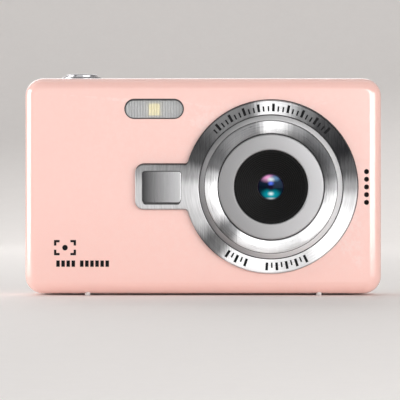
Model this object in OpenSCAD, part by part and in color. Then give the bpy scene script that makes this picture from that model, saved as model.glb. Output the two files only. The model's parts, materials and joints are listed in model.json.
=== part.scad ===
// Compact digital camera, built up from its separate pieces.
//
// Millimetres. X runs to the right seen from the front, the front faces -Y and +Z is up.
// The origin is the bottom centre of the whole camera, on the surface that its feet stand on.
// A depth is measured from the case's front face towards the rear. A rise is measured from
// the case's front face towards the viewer.

/* [Case] */
// Width of the case
body_w = 96; // [92:0.5:120]
// Height of the case without feet and shutter button
body_h = 58; // [57:0.5:72]
// Depth of the case without lens trim and rear buttons
body_d = 21; // [20.5:0.5:28]
// Radius of the four case corners seen from the front
corner_r = 4.8; // [4:0.1:6]
// Rounding of the front edges
front_edge_r = 3.3; // [2.2:0.1:3.6]
// Rounding of the rear edges
rear_edge_r = 2.4; // [2:0.1:2.7]
// Wall thickness of both covers
wall = 1.5; // [1.3:0.1:1.8]
// Depth of the rear cover's share of the case
rear_cover_d = 6.2; // [5.6:0.1:6.8]

/* [Clearances] */
// Gap round a piece that moves in an opening
move_gap = 0.15; // [0.1:0.05:0.2]
// Gap round a piece that is seated in an opening
seat_gap = 0.05; // [0.02:0.01:0.1]
// Radial gap of a turning bore on its pin
pin_gap = 0.05; // [0.02:0.01:0.1]
// Gap behind a retaining flange
flange_gap = 0.1; // [0.05:0.05:0.2]

/* [Feet] */
// Height of the feet under the case
foot_h = 0.5; // [0.3:0.1:1]
// Radius of a foot
foot_r = 0.75; // [0.5:0.05:1]
// Distance of the feet from the middle
foot_x = 31.2; // [28:0.2:34]
// Depth of the two front feet
foot_front_d = 2.6; // [2.5:0.1:2.8]
// Distance of the two rear feet from the rear face
foot_rear_in = 3.2; // [3:0.1:4]
// Length of a foot's peg inside the case
foot_peg = 1.1; // [0.6:0.1:1.2]

/* [Lens trim] */
// Sideways place of the lens axis from the middle of the case
lens_offset = 18.16; // [16:0.2:20]
// Height of the lens axis above the bottom face of the case
lens_up = 28.7; // [28:0.1:30]
// Radius of the bezel plate
bezel_r = 23.3; // [22.5:0.1:24]
// Rise of the bezel plate over the case
bezel_t = 1.5; // [1.3:0.1:2]
// Radius of the recess that the step ring seats in
step_seat_r = 19.4; // [19.2:0.1:20]
// Thickness of the bezel plate under the step ring
bezel_floor_t = 0.5; // [0.4:0.1:0.8]
// Outer radius of the brushed trim ring
trim_r = 17.9; // [17.6:0.1:18.4]
// Rise of the brushed trim ring
trim_top = 3.3; // [3:0.1:3.6]
// Width of the shelf that the trim ring rests on
trim_shelf = 1.5; // [1:0.1:2]
// Rise of the shelf that the trim ring rests on
trim_shelf_top = 1.6; // [1.2:0.1:1.8]
// Inner radius of the brushed trim ring
trim_bore_r = 14.35; // [14.2:0.05:14.6]
// Dark gap between trim ring and nose ring
nose_gap = 0.25; // [0.15:0.05:0.4]
// Rise of the nose ring, which is the foremost part
nose_top = 3.9; // [3.6:0.1:4.4]
// Inner radius of the nose ring
nose_bore_r = 9.9; // [9.6:0.1:10.2]
// Rise of the ridged baffle's outer rim
baffle_top = 3.2; // [3:0.1:3.4]
// Rise of the ridged baffle where it meets the glass
baffle_low = 0.9; // [0.8:0.1:1.2]
// Number of ridges down the baffle
baffle_ridges = 8; // [5:1:10]
// Length of the bezel's side tab from the lens axis
tab_reach = 36.46; // [35.5:0.1:37.5]
// Height of the bezel's side tab
tab_h = 12.2; // [11.6:0.1:13]
// Corner radius of the bezel's side tab
tab_corner_r = 2.3; // [1.5:0.1:3]
// Width of the small mirror in the tab
mirror_w = 10.35; // [9.5:0.05:10.6]
// Height of the small mirror in the tab
mirror_h = 8.4; // [8:0.1:9]
// Distance of the mirror's middle from the lens axis
mirror_reach = 29.36; // [29.1:0.05:29.5]

/* [Lens] */
// Radius of the front glass
glass_r = 3.55; // [3.3:0.05:3.7]
// Rise of the dome of the front glass over its rim
glass_dome = 0.65; // [0.4:0.05:0.8]
// Radius of the threaded lens barrel
barrel_r = 7; // [6.6:0.1:7.2]
// Length of the lens barrel behind the front face
barrel_l = 8.6; // [8:0.1:8.7]
// Radius of the lens holder's tube
holder_r = 10.5; // [10:0.1:11.5]
// Radius of the lens holder's flange behind the front wall
holder_flange_r = 21; // [20.6:0.1:21.2]
// Thickness of the lens holder's flange
holder_flange_t = 1; // [0.8:0.1:1.4]
// Thickness of the foam seal
seal_t = 0.5; // [0.4:0.1:0.8]
// Depth of the back end of the lens holder
holder_end_d = 10.6; // [10.6:0.1:11]
// Size of the square sensor board
sensor_board_w = 20; // [18:0.5:21]
// Thickness of the sensor board
sensor_board_t = 0.8; // [0.6:0.1:1]

/* [Flash] */
// Width of the flash window
flash_w = 16; // [15:0.1:17]
// Height of the flash window
flash_h = 5.45; // [5:0.05:6]
// Sideways place of the flash from the middle of the case
flash_offset = -13.2; // [-14:0.1:-12]
// Distance of the flash's middle from the top face
flash_down = 8.3; // [8:0.1:9]
// Width of the ledge behind the flash opening
flash_ledge = 0.7; // [0.5:0.1:0.9]
// Depth of the flash reflector behind its window
flash_reflector_l = 3; // [2.6:0.1:3.4]
// Size of the square flash light
flash_led_w = 3; // [2.6:0.1:3.4]

/* [Top buttons] */
// Distance of the shutter button from the left side
shutter_in = 15; // [14:0.1:16]
// Depth of the shutter and power buttons
top_button_d = 9.2; // [9:0.1:9.4]
// Radius of the shutter button
shutter_r = 4.3; // [4:0.1:4.5]
// Rise of the shutter button over the top face
shutter_up = 1.3; // [1.1:0.1:1.6]
// Radius of the collar round the shutter button
collar_r = 5.3; // [5.2:0.1:5.5]
// Rise of the collar over the top face
collar_up = 0.4; // [0.3:0.1:0.6]
// Travel of the shutter button
shutter_travel = 0.8; // [0.6:0.1:0.9]
// Distance between the shutter and power buttons
power_pitch = 13; // [12:0.1:14]
// Radius of the power button
power_r = 2.6; // [2.3:0.1:3]
// Travel of the power button
power_travel = 0.5; // [0.4:0.1:0.6]

/* [Rear controls] */
// Distance of the rear controls' middle from the left side
control_in = 15; // [14.5:0.1:15.5]
// Radius of the four direction keys
pad_r = 8.6; // [8.2:0.1:8.8]
// Radius of the middle button
ok_r = 3.3; // [3:0.1:3.5]
// Gap between neighbouring keys of the pad
pad_gap = 0.3; // [0.3:0.05:0.4]
// Radius of the four round buttons
round_r = 2.3; // [2:0.1:2.5]
// Sideways pitch from the middle to the round buttons
round_pitch_x = 6.5; // [6.2:0.1:7]
// Height pitch from the middle to the round buttons
round_pitch_z = 13.3; // [13:0.1:13.6]
// Rise of the middle button over the rear face
ok_up = 0.8; // [0.6:0.1:1]
// Rise of the other rear buttons over the rear face
key_up_rise = 0.6; // [0.4:0.1:0.6]
// Travel of the rear buttons
key_travel = 0.4; // [0.3:0.05:0.5]
// Distance of the zoom rocker from the top face
zoom_down = 7.8; // [7.6:0.1:8.2]
// Width of the zoom rocker
zoom_w = 12; // [11:0.1:13]
// Height of the zoom rocker
zoom_h = 4.6; // [4.2:0.1:5]
// Radius of the zoom rocker's pin
zoom_pin_r = 0.5; // [0.4:0.05:0.6]
// Distance of the status light from the rear controls' middle
light_reach = 12.5; // [12:0.1:13]
// Radius of the status light
light_r = 0.8; // [0.6:0.05:1]

/* [Display] */
// Width of the display window
screen_w = 60; // [58:0.5:62]
// Height of the display window
screen_h = 44; // [43:0.5:45]
// Distance of the display's middle from the right side
screen_in = 35; // [34.5:0.1:35.5]
// Height of the display's middle above the bottom face
screen_up = 30.2; // [30:0.1:30.6]
// Thickness of the display window
screen_t = 0.95; // [0.8:0.05:1]
// Width of the display panel
panel_w = 53; // [52:0.1:54]
// Height of the display panel
panel_h = 42; // [41:0.1:42.4]
// Thickness of the display panel
panel_t = 2; // [1.6:0.1:2.1]
// Thickness of the sheet steel display frame
frame_t = 0.3; // [0.2:0.05:0.4]
// Ledge that the display window is glued to
screen_ledge = 4; // [3.6:0.1:4.5]

/* [Boards] */
// Distance from the rear face to the rear side of the main board
board_in = 4.6; // [4.5:0.1:4.8]
// Thickness of the main board
board_t = 1; // [0.8:0.1:1.2]
// Gap between the main board and the inner frame
board_gap = 1.4; // [1.3:0.1:1.6]
// Thickness of the inner frame's plate
plate_t = 1.4; // [1.2:0.1:1.6]
// Size of a square push switch
switch_w = 3; // [2.6:0.1:3.2]
// Height of a push switch
switch_h = 1.2; // [1:0.1:1.25]
// Size of the processor chip
chip_w = 12; // [10:0.5:14]

/* [Battery] */
// Width of the battery
battery_w = 35.4; // [34:0.1:36]
// Height of the battery
battery_h = 40; // [39:0.1:40.5]
// Thickness of the battery
battery_t = 5.8; // [5:0.1:6]
// Distance of the battery from the left side
battery_in = 6.4; // [6.4:0.1:7]
// Depth of the battery's front face
battery_d = 4.4; // [4.4:0.1:4.6]
// Wall of the battery bay
bay_wall = 0.8; // [0.6:0.1:0.85]
// Gap round the battery in its bay
bay_gap = 0.2; // [0.1:0.05:0.25]
// Height of the contact space over the battery
contact_h = 1.5; // [1.2:0.1:1.6]
// Depth of the front edge of the battery door
door_front_d = 4; // [3.9:0.05:4.1]
// Depth of the rear edge of the battery door
door_rear_d = 10.6; // [10.5:0.1:10.6]
// Depth of the door's hinge pin
hinge_d = 12; // [12:0.1:12.4]
// Height of the hinge pin above the bottom face
hinge_up = 1.3; // [1.3:0.05:1.4]
// Radius of the door's knuckle
knuckle_r = 1.25; // [1.1:0.05:1.28]
// Length of the door's knuckle
knuckle_l = 20; // [16:0.5:24]
// Radius of the hinge pin
hinge_pin_r = 0.5; // [0.4:0.05:0.6]

/* [Sockets] */
// Radius of the tripod socket's thread bore
tripod_r = 2.6; // [2.5:0.05:2.7]
// Outer radius of the tripod socket
tripod_outer_r = 4.2; // [4:0.1:4.6]
// Length of the tripod socket
tripod_l = 6; // [5:0.1:6]
// Depth of the tripod socket's axis
tripod_d = 9.4; // [9.4:0.1:9.8]
// Width of the charging socket
usb_w = 8.94; // [8.8:0.02:9.1]
// Thickness of the charging socket
usb_t = 3.2; // [3:0.05:3.3]
// Length of the charging socket
usb_l = 7.3; // [6.5:0.1:7.6]
// Distance of the charging socket from the top face
usb_down = 15.5; // [15:0.1:16]
// Distance of the charging socket's middle in front of the main board
usb_ahead = 2.8; // [2.7:0.05:3]
// Length of the memory card
card_l = 15; // [14:0.1:16]
// Width of the memory card
card_w = 11; // [10.5:0.1:11.2]
// Thickness of the memory card
card_t = 1; // [0.7:0.05:1]
// Height of the memory card's middle above the bottom face
card_up = 15.5; // [15:0.1:16]
// Distance of the memory card's middle in front of the main board
card_ahead = 2.8; // [2.7:0.05:3]
// Radius of the strap post
strap_r = 0.75; // [0.6:0.05:0.9]
// Height of the strap pocket
strap_pocket_h = 7; // [6:0.1:8]
// Distance of the strap pocket's middle from the top face
strap_down = 18.5; // [18:0.1:19]

/* [Sound] */
// Number of sound holes in the front
sound_holes = 5; // [3:1:5]
// Radius of a sound hole
sound_hole_r = 0.68; // [0.5:0.02:0.75]
// Pitch of the sound holes
sound_pitch = 2.07; // [2:0.01:2.3]
// Distance of the sound holes from the right side
sound_in = 4.1; // [4:0.05:4.4]

/* [Screws] */
// Radius of a screw head
head_r = 1.3; // [1.1:0.05:1.5]
// Height of a case screw's head
head_h = 0.8; // [0.6:0.05:0.9]
// Radius of a case screw's shank
shank_r = 0.7; // [0.5:0.05:0.8]
// Length of a case screw's shank
shank_l = 4.5; // [4:0.1:5]
// Distance of the outer bottom screws from the sides
screw_in = 10; // [9:0.1:11]
// Place of the middle bottom screws from the middle of the case
screw_mid_x = 2; // [1.5:0.1:2.5]

/* [Hidden] */
$fn = 72;

// Overall frame: the foremost and rearmost points are equally far from the origin
y_front = (nose_top - body_d - ok_up) / 2;
left = -body_w / 2;
right = body_w / 2;
bottom = foot_h;
top = foot_h + body_h;
split_d = body_d - rear_cover_d;
lens_x = lens_offset;
lens_z = bottom + lens_up;

// Depth stack from the rear
rear_wall_d = body_d - wall;
board_rear_d = body_d - board_in;
board_front_d = board_rear_d - board_t;
plate_rear_d = board_front_d - board_gap;
plate_front_d = plate_rear_d - plate_t;
switch_top_d = board_rear_d + switch_h;
panel_front_d = rear_wall_d - panel_t;

// Lens stack
spigot_r = step_seat_r - 0.45;
spigot_bore_r = spigot_r - 0.95;
cover_bore_r = spigot_r + seat_gap;
nose_r = trim_bore_r - nose_gap;
baffle_r = nose_bore_r + 0.45;
holder_bore_r = barrel_r + 0.1;
hub_r = spigot_bore_r - 0.1;
seal_back_d = wall + seal_t;
flange_back_d = seal_back_d + holder_flange_t;
filter_ledge_d = holder_end_d - 1.3;
filter_t = 0.45;
sensor_t = 0.7;
well_inner_r = 15;
well_wall = 1.2;

// Flash stack
flash_x = flash_offset;
flash_z = top - flash_down;
flash_flange_t = 0.7;
flash_body_w = flash_w + 2 * flash_ledge;
flash_body_h = flash_h + 2 * flash_ledge;
flash_reflector_d = wall + flash_flange_t;
flash_board_d = flash_reflector_d + flash_reflector_l;
flash_board_t = 0.8;
flash_led_t = 0.7;
flash_rib_pitch = 0.75;
flash_rib_depth = 0.35;

// Top buttons
shutter_x = left + shutter_in;
power_x = shutter_x + power_pitch;
top_board_z = top - 5.5;
top_board_t = 0.8;
top_board_d = 7.2;
top_board_l = 5.8;
top_board_x0 = shutter_x - 5;
top_board_x1 = power_x + 4.5;
top_switch_z = top_board_z + top_board_t + switch_h;
collar_bore_r = shutter_r + move_gap;
collar_spigot_r = collar_bore_r + 0.55;
flange_t = 0.5;
stem_r = 1.2;
power_up = 0.1;

// Rear controls
control_x = left + control_in;
control_z = lens_z;
pad_hole_r = pad_r + move_gap;
pad_inner_r = ok_r + pad_gap;
pad_stem_reach = 6.2;
key_flange = 0.6;
key_bottom_d = switch_top_d + key_travel + flange_gap;
key_flange_d = rear_wall_d - flange_gap;
round_places = [
    [control_x - round_pitch_x, control_z + round_pitch_z],
    [control_x + round_pitch_x, control_z + round_pitch_z],
    [control_x - round_pitch_x, control_z - round_pitch_z],
    [control_x + round_pitch_x, control_z - round_pitch_z]
];
zoom_z = top - zoom_down;
zoom_pin_d = body_d - 2.2;
zoom_gap = 0.3;
zoom_ear_l = 1.6;
zoom_ear_w = 2.6;
zoom_switch_reach = 4.3;
zoom_barrel_r = 1.1;
light_x = control_x + light_reach;

// Display
screen_x = right - screen_in;
screen_z = bottom + screen_up;
screen_corner_r = 2;

// Main board
board_x0 = left + 6.5;
board_x1 = right - 7;
board_z0 = bottom + 7.5;
board_z1 = top - 5;
boss_r = 2.2;
side_screw_z = lens_z + 1.8;
board_shank_r = 0.6;
board_shank_l = 3.4;
board_head_h = 0.6;
board_screw_places = [
    [left + 8.5, control_z - 7.4],
    [right - 11.5, side_screw_z],
    [-5, board_z1 - 5.5],
    [-5, board_z0 + 4]
];

// Battery bay and door
battery_x0 = left + battery_in;
battery_x1 = battery_x0 + battery_w;
battery_z0 = bottom + 2.4;
battery_z1 = battery_z0 + battery_h;
bay_x0 = battery_x0 - bay_gap - bay_wall;
bay_x1 = battery_x1 + bay_gap + bay_wall;
bay_z0 = bottom + wall + 0.2;
bay_z1 = battery_z1 + contact_h + 0.9;
bay_d0 = battery_d - bay_gap - bay_wall;
door_mid_x = (bay_x0 + bay_x1) / 2;
door_t = wall;
ear_l = 3.3;
ear_gap = 0.2;
hinge_z = bottom + hinge_up;
knuckle_room = knuckle_r + 0.35;
door_relief_r = norm([hinge_d - door_rear_d - move_gap, hinge_up]) + 0.05;
knuckle_x0 = door_mid_x - knuckle_l / 2;
knuckle_x1 = door_mid_x + knuckle_l / 2;

// Sockets
tripod_boss_r = tripod_outer_r + 1.8;
tripod_lid = 1.5;
usb_d = board_front_d - usb_ahead;
usb_z = top - usb_down;
usb_shell = 0.3;
usb_inset = 0.2;
card_d = board_front_d - card_ahead;
card_z = bottom + card_up;
card_inset = 0.3;
card_slot_gap = 0.1;
card_shell = 0.45;
card_travel = 14;
strap_z = top - strap_down;
strap_pocket_w = 5;
strap_pocket_l = 3.8;
strap_liner = 0.8;
strap_d = 9;
strap_post_in = 1.7;

// Sound
sound_x = right - sound_in;
sound_rim_w = 4.4;
sound_rim_h = 13;
sound_rim_d = 2.5;
sound_rim_wall = 0.7;
speaker_t = 2.5;
mic_x = 2;
mic_r = 2;
mic_hole_r = 0.5;

// Screws
head_in = 0.1;
tab_w = 4.4;
tab_top = bottom + 6.5;
screw_rear_d = body_d - 3.6;
screw_front_d = 8.5;
side_screw_d = body_d - 3.8;
side_tab_l = 3.8;
tab_end_d = body_d - rear_edge_r;
card_room_d = card_d - card_t / 2 - card_slot_gap - card_shell - 0.3;
bottom_rear_screws = [left + screw_in, screw_mid_x, right - screw_in];
bottom_front_screws = [screw_mid_x, right - screw_in];

// Colours
shell_pink = [0.98, 0.79, 0.75];
silver = [0.82, 0.82, 0.83];
black_plastic = [0.11, 0.11, 0.12];
board_green = [0.08, 0.33, 0.2];
gold = [0.83, 0.66, 0.32];
steel = [0.66, 0.67, 0.69];

// Corner points of a rectangle with rounded corners, centred on the origin
function rounded(w, h, r, steps = 6) = [
    for (k = [0:3], i = [0:steps])
        let (a = 90 * k + 90 * i / steps)
        let (sx = (k == 0 || k == 3) ? 1 : -1)
        let (sz = (k < 2) ? 1 : -1)
        [sx * (w / 2 - r) + r * cos(a), sz * (h / 2 - r) + r * sin(a)]
];

// Half profile of a case corner: a post of the corner's radius with one rounded end
function corner_profile(r, edge, depth) = concat(
    [[0, 0], [r, 0]],
    [for (a = [0:10:90]) [r - edge + edge * cos(a), depth - edge + edge * sin(a)]],
    [[0, depth]]
);

// Points of the baffle's ridged slope from its rim down to the glass
function ridge_points(r0, z0, r1, z1, count) = [
    for (i = [0:count - 1], j = [0:1])
        let (t = (i + j) / count)
        [r0 + (r1 - r0) * t, z0 + (z1 - z0) * (j == 0 ? t : (i + 0.35) / count)]
];

// Points of a shallow dome over a disc
function dome_points(r, z0, rise) = [
    for (i = [0:8])
        let (t = i / 8)
        [r * (1 - t), z0 + rise * (1 - pow(1 - t, 2))]
];

// Extrudes an outline, drawn across and up, between two depths
module slab(d0, d1) {
    translate([0, y_front + d1, 0]) rotate([90, 0, 0]) linear_extrude(d1 - d0) children();
}

// Extrudes an outline, drawn in depth and height, between two places across
module along_x(x0, x1) {
    translate([x0, y_front, 0]) rotate([90, 0, 90]) linear_extrude(x1 - x0) children();
}

// A box between two places across, two depths and two heights
module block(x0, x1, d0, d1, z0, z1) {
    translate([x0, y_front + d0, z0]) cube([x1 - x0, d1 - d0, z1 - z0]);
}

// A round bar in depth direction
module bar(x, z, d0, d1, r) {
    translate([x, y_front + d1, z]) rotate([90, 0, 0]) cylinder(h = d1 - d0, r = r);
}

// A round bar standing upright
module post(x, d, z0, z1, r) {
    translate([x, y_front + d, z0]) cylinder(h = z1 - z0, r = r);
}

// A round bar lying across
module axle(d, z, x0, x1, r) {
    translate([x0, y_front + d, z]) rotate([0, 90, 0]) cylinder(h = x1 - x0, r = r);
}

// Turns a half profile round the lens axis, with its heights as rises
module turned(points) {
    translate([lens_x, y_front, lens_z]) rotate([90, 0, 0]) rotate_extrude() polygon(points);
}

// Turns a half profile round an axis that points out of the rear face
module turned_rear(x, z, points) {
    translate([x, y_front + body_d, z]) rotate([-90, 0, 0]) rotate_extrude() polygon(points);
}

// Turns a half profile round an upright axis over the top face
module turned_top(x, d, points) {
    translate([x, y_front + d, top]) rotate_extrude() polygon(points);
}

// One half of the case as a solid, with its rounded edge at the far end
module half_solid(inset, edge, depth) {
    corner = corner_r - inset;
    across = body_w / 2 - corner_r;
    up = body_h / 2 - corner_r;
    middle = (top + bottom) / 2;
    hull() {
        for (sx = [-1, 1], sz = [-1, 1]) {
            translate([sx * across, sz * up + middle, 0]) rotate_extrude($fn = 32)
                polygon(corner_profile(corner, edge, depth));
        }
    }
}

module front_half(inset, d0) {
    translate([0, y_front + split_d, 0]) rotate([90, 0, 0])
        half_solid(inset, front_edge_r - inset, split_d - d0);
}

module rear_half(inset, d1) {
    translate([0, y_front + split_d, bottom + top]) rotate([-90, 0, 0])
        half_solid(inset, rear_edge_r - inset, d1 - split_d);
}

// A screw that points up, with a cross in its head
module screw(head, length, shank) {
    cross = head_r * 1.1;
    difference() {
        rotate_extrude() polygon([
            [0, 0], [head_r, 0], [head_r, head], [shank, head], [shank, head + length], [0, head + length]
        ]);
        translate([-cross / 2, -0.15, -1]) cube([cross, 0.3, 1.35]);
        translate([-0.15, -cross / 2, -1]) cube([0.3, cross, 1.35]);
    }
}

module front_cover() {
    rib = 0.4;
    color(shell_pink) difference() {
        union() {
            difference() {
                front_half(0, 0);
                front_half(wall, wall);
            }
            // Liner of the strap pocket
            block(left + rib, left + strap_pocket_l + strap_liner,
                  strap_d - strap_pocket_w / 2 - strap_liner, strap_d + strap_pocket_w / 2 + strap_liner,
                  strap_z - strap_pocket_h / 2 - strap_liner, strap_z + strap_pocket_h / 2 + strap_liner);
            // Ears that hold the door's pin
            for (side = [0, 1]) {
                x = side == 0 ? knuckle_x0 - ear_gap - ear_l : knuckle_x1 + ear_gap;
                block(x, x + ear_l, hinge_d - 1.2, hinge_d + 1.2, bottom + rib, hinge_z + 1.2);
            }
            // Rim that the speaker sits on
            slab(wall - rib, sound_rim_d) translate([sound_x, lens_z])
                square([sound_rim_w, sound_rim_h], center = true);
        }
        // Inside of the speaker rim
        slab(wall, sound_rim_d + 1) translate([sound_x, lens_z])
            square([sound_rim_w - 2 * sound_rim_wall, sound_rim_h - 2 * sound_rim_wall], center = true);
        // Round hole behind the lens bezel
        bar(lens_x, lens_z, -1, wall + 1, cover_bore_r);
        // Flash opening
        slab(-1, wall + 1) translate([flash_x, flash_z])
            polygon(rounded(flash_w, flash_h, flash_h / 2 - 0.01, 12));
        // Holes for the shutter collar, the power button and the microphone
        post(shutter_x, top_button_d, top - wall - 1, top + 1, collar_spigot_r + seat_gap);
        post(power_x, top_button_d, top - wall - 1, top + 1, power_r + move_gap);
        post(mic_x, top_button_d, top - wall - 1, top + 1, mic_hole_r);
        // Sound holes
        for (i = [0:sound_holes - 1]) {
            bar(sound_x, lens_z + (i - (sound_holes - 1) / 2) * sound_pitch, -1, wall + 1, sound_hole_r);
        }
        // Charging socket opening
        along_x(right - wall - 1, right + 1) translate([usb_d, usb_z])
            polygon(rounded(usb_t + 2 * seat_gap, usb_w + 2 * seat_gap, usb_t / 2 - 0.05));
        // Memory card slot and the finger scoop across it
        block(right - wall - 1, right + 1, card_d - card_t / 2 - move_gap, card_d + card_t / 2 + move_gap,
              card_z - card_w / 2 - move_gap, card_z + card_w / 2 + move_gap);
        bar(right + 3.2, card_z, card_d - 2.2, split_d - 0.4, 4);
        // Battery door opening, with room for its knuckle
        block(bay_x0 - move_gap, bay_x1 + move_gap, door_front_d - move_gap, door_rear_d + move_gap,
              bottom - 1, bottom + wall + 2);
        block(knuckle_x0 - ear_gap, knuckle_x1 + ear_gap, door_rear_d, hinge_d + knuckle_room,
              bottom - 1, bottom + wall + 2);
        // Bores for the door's pin
        axle(hinge_d, hinge_z, knuckle_x0 - ear_gap - ear_l + 0.8,
             knuckle_x1 + ear_gap + ear_l - 0.8, hinge_pin_r);
        // Strap pocket and the bores for its post
        block(left - 1, left + strap_pocket_l, strap_d - strap_pocket_w / 2, strap_d + strap_pocket_w / 2,
              strap_z - strap_pocket_h / 2, strap_z + strap_pocket_h / 2);
        post(left + strap_post_in, strap_d, strap_z - strap_pocket_h / 2 - 0.6,
             strap_z + strap_pocket_h / 2 + 0.6, strap_r);
        // Tripod socket hole
        post(lens_x, tripod_d, bottom - 1, bottom + wall + 1, tripod_outer_r + seat_gap);
        // Screw holes and peg holes of the feet
        for (x = bottom_front_screws) {
            post(x, screw_front_d, bottom - 1, bottom + wall + 1, shank_r + seat_gap);
            post(x, screw_front_d, bottom - 1, bottom + head_in + head_h, head_r + seat_gap);
        }
        for (x = [-foot_x, foot_x]) {
            post(x, foot_front_d, bottom - 1, bottom + foot_peg, foot_r);
        }
    }
}

module rear_cover() {
    rib = 0.4;
    color(shell_pink) difference() {
        union() {
            difference() {
                rear_half(0, body_d);
                rear_half(wall, rear_wall_d);
            }
            // Ears that hold the zoom rocker's pin
            for (side = [-1, 1]) {
                z = zoom_z + side * (zoom_h / 2 + zoom_gap + zoom_ear_l / 2);
                block(control_x - zoom_ear_w / 2, control_x + zoom_ear_w / 2, zoom_pin_d - 0.9, body_d - rib,
                      z - zoom_ear_l / 2, z + zoom_ear_l / 2);
            }
        }
        // Display opening and the seat of its window
        slab(split_d + 1, body_d + 1) translate([screen_x, screen_z])
            square([screen_w - 2 * screen_ledge, screen_h - screen_ledge], center = true);
        slab(body_d - screen_t - seat_gap, body_d + 1) translate([screen_x, screen_z])
            polygon(rounded(screen_w + 2 * seat_gap, screen_h + 2 * seat_gap, screen_corner_r));
        // Openings for the pad, the round buttons, the rocker and the status light
        bar(control_x, control_z, rear_wall_d - 1, body_d + 1, pad_hole_r);
        for (place = round_places) {
            bar(place[0], place[1], rear_wall_d - 1, body_d + 1, round_r + move_gap);
        }
        slab(rear_wall_d - 1, body_d + 1) translate([control_x, zoom_z])
            polygon(rounded(zoom_w + 2 * zoom_gap, zoom_h + 2 * zoom_gap, 1.5));
        bar(light_x, zoom_z, rear_wall_d - 1, body_d + 1, light_r);
        // Bores for the rocker's pin
        post(control_x, zoom_pin_d, zoom_z - zoom_h / 2 - zoom_gap - zoom_ear_l + 0.4,
             zoom_z + zoom_h / 2 + zoom_gap + zoom_ear_l - 0.4, zoom_pin_r);
        // Screw holes and peg holes of the feet
        for (x = bottom_rear_screws) {
            post(x, screw_rear_d, bottom - 1, bottom + wall + 1, shank_r + seat_gap);
            post(x, screw_rear_d, bottom - 1, bottom + head_in + head_h, head_r + seat_gap);
        }
        axle(side_screw_d, side_screw_z, left - 1, right + 1, shank_r + seat_gap);
        axle(side_screw_d, side_screw_z, left - 1, left + head_in + head_h, head_r + seat_gap);
        axle(side_screw_d, side_screw_z, right - head_in - head_h, right + 1, head_r + seat_gap);
        for (x = [-foot_x, foot_x]) {
            post(x, body_d - foot_rear_in, bottom - 1, bottom + foot_peg, foot_r);
        }
    }
}

module mid_frame() {
    inner_bottom = bottom + wall;
    ear_room = knuckle_l / 2 + ear_gap + ear_l + 0.5;
    well_r = well_inner_r + well_wall;
    color(black_plastic) difference() {
        union() {
            // Plate that carries the boards
            block(left + 4, right - 4, plate_front_d, plate_rear_d, bottom + 3.5, top_board_z);
            // Battery bay
            block(bay_x0, bay_x1, bay_d0, plate_front_d + 0.2, bay_z0, bay_z1);
            // Well that backs the lens holder
            bar(lens_x, lens_z, flange_back_d, plate_front_d + 0.2, well_r);
            // Shelf for the top board
            block(top_board_x0, top_board_x1, top_board_d, plate_rear_d, top_board_z - 1.2, top_board_z);
            // Block that holds the tripod socket
            post(lens_x, tripod_d, inner_bottom, bottom + tripod_l + tripod_lid, tripod_boss_r);
            block(lens_x - 4, lens_x + 4, tripod_d, plate_front_d + 0.2, inner_bottom + 1.5,
                  bottom + tripod_l + tripod_lid);
            // Tabs for the case screws
            for (x = bottom_front_screws) {
                block(x - tab_w / 2, x + tab_w / 2, screw_front_d - 2, plate_rear_d, inner_bottom, tab_top);
            }
            for (x = bottom_rear_screws) {
                block(x - tab_w / 2, x + tab_w / 2, plate_front_d, tab_end_d, inner_bottom, tab_top);
            }
            for (x = [left + wall, right - wall - side_tab_l]) {
                block(x, x + side_tab_l, plate_front_d, tab_end_d, side_screw_z - 2, side_screw_z + 2);
            }
            // Bosses for the main board
            for (place = board_screw_places) {
                bar(place[0], place[1], plate_rear_d - 0.2, board_front_d, boss_r);
            }
        }
        // Inside of the battery bay, open at the bottom
        block(battery_x0 - bay_gap, battery_x1 + bay_gap,
              battery_d - bay_gap, battery_d + battery_t + bay_gap,
              bottom, battery_z1 + contact_h);
        // Room for the door's hinge
        block(door_mid_x - ear_room, door_mid_x + ear_room,
              battery_d + battery_t, hinge_d + knuckle_room + 0.3,
              bottom, hinge_z + 2.1);
        // Inside of the lens well
        bar(lens_x, lens_z, 0, plate_rear_d + 1, well_inner_r);
        // Room for the memory card and charging sockets
        block(right - 18.2, right, card_room_d, plate_rear_d + 1, bottom + 7, bottom + 24.5);
        block(right - 11, right, plate_front_d - 1, plate_rear_d + 1, usb_z - 6.5, top);
        // Seat of the tripod socket
        post(lens_x, tripod_d, 0, bottom + tripod_l, tripod_outer_r);
        // Screw bores
        for (x = bottom_front_screws) {
            post(x, screw_front_d, bottom, bottom + head_in + head_h + shank_l, shank_r);
        }
        for (x = bottom_rear_screws) {
            post(x, screw_rear_d, bottom, bottom + head_in + head_h + shank_l, shank_r);
        }
        axle(side_screw_d, side_screw_z, left, left + head_in + head_h + shank_l, shank_r);
        axle(side_screw_d, side_screw_z, right - head_in - head_h - shank_l, right, shank_r);
        for (place = board_screw_places) {
            bar(place[0], place[1], board_rear_d - board_shank_l, board_front_d + 1, board_shank_r);
        }
    }
}

module lens_bezel() {
    color(silver) difference() {
        union() {
            turned([
                [spigot_bore_r, -wall + 0.2], [spigot_r, -wall + 0.2], [spigot_r, 0], [bezel_r, 0],
                [bezel_r, bezel_t - 0.4], [bezel_r - 0.4, bezel_t], [step_seat_r, bezel_t],
                [step_seat_r, bezel_floor_t], [spigot_bore_r, bezel_floor_t]
            ]);
            slab(-bezel_t, 0) difference() {
                translate([lens_x - tab_reach + bezel_r / 2, lens_z])
                    polygon(rounded(bezel_r, tab_h, tab_corner_r));
                translate([lens_x, lens_z]) circle(r = step_seat_r + 1);
            }
        }
        slab(-bezel_t - 1, -bezel_floor_t) translate([lens_x - mirror_reach, lens_z])
            polygon(rounded(mirror_w + 2 * seat_gap, mirror_h + 2 * seat_gap, 0.8));
    }
}

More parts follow.
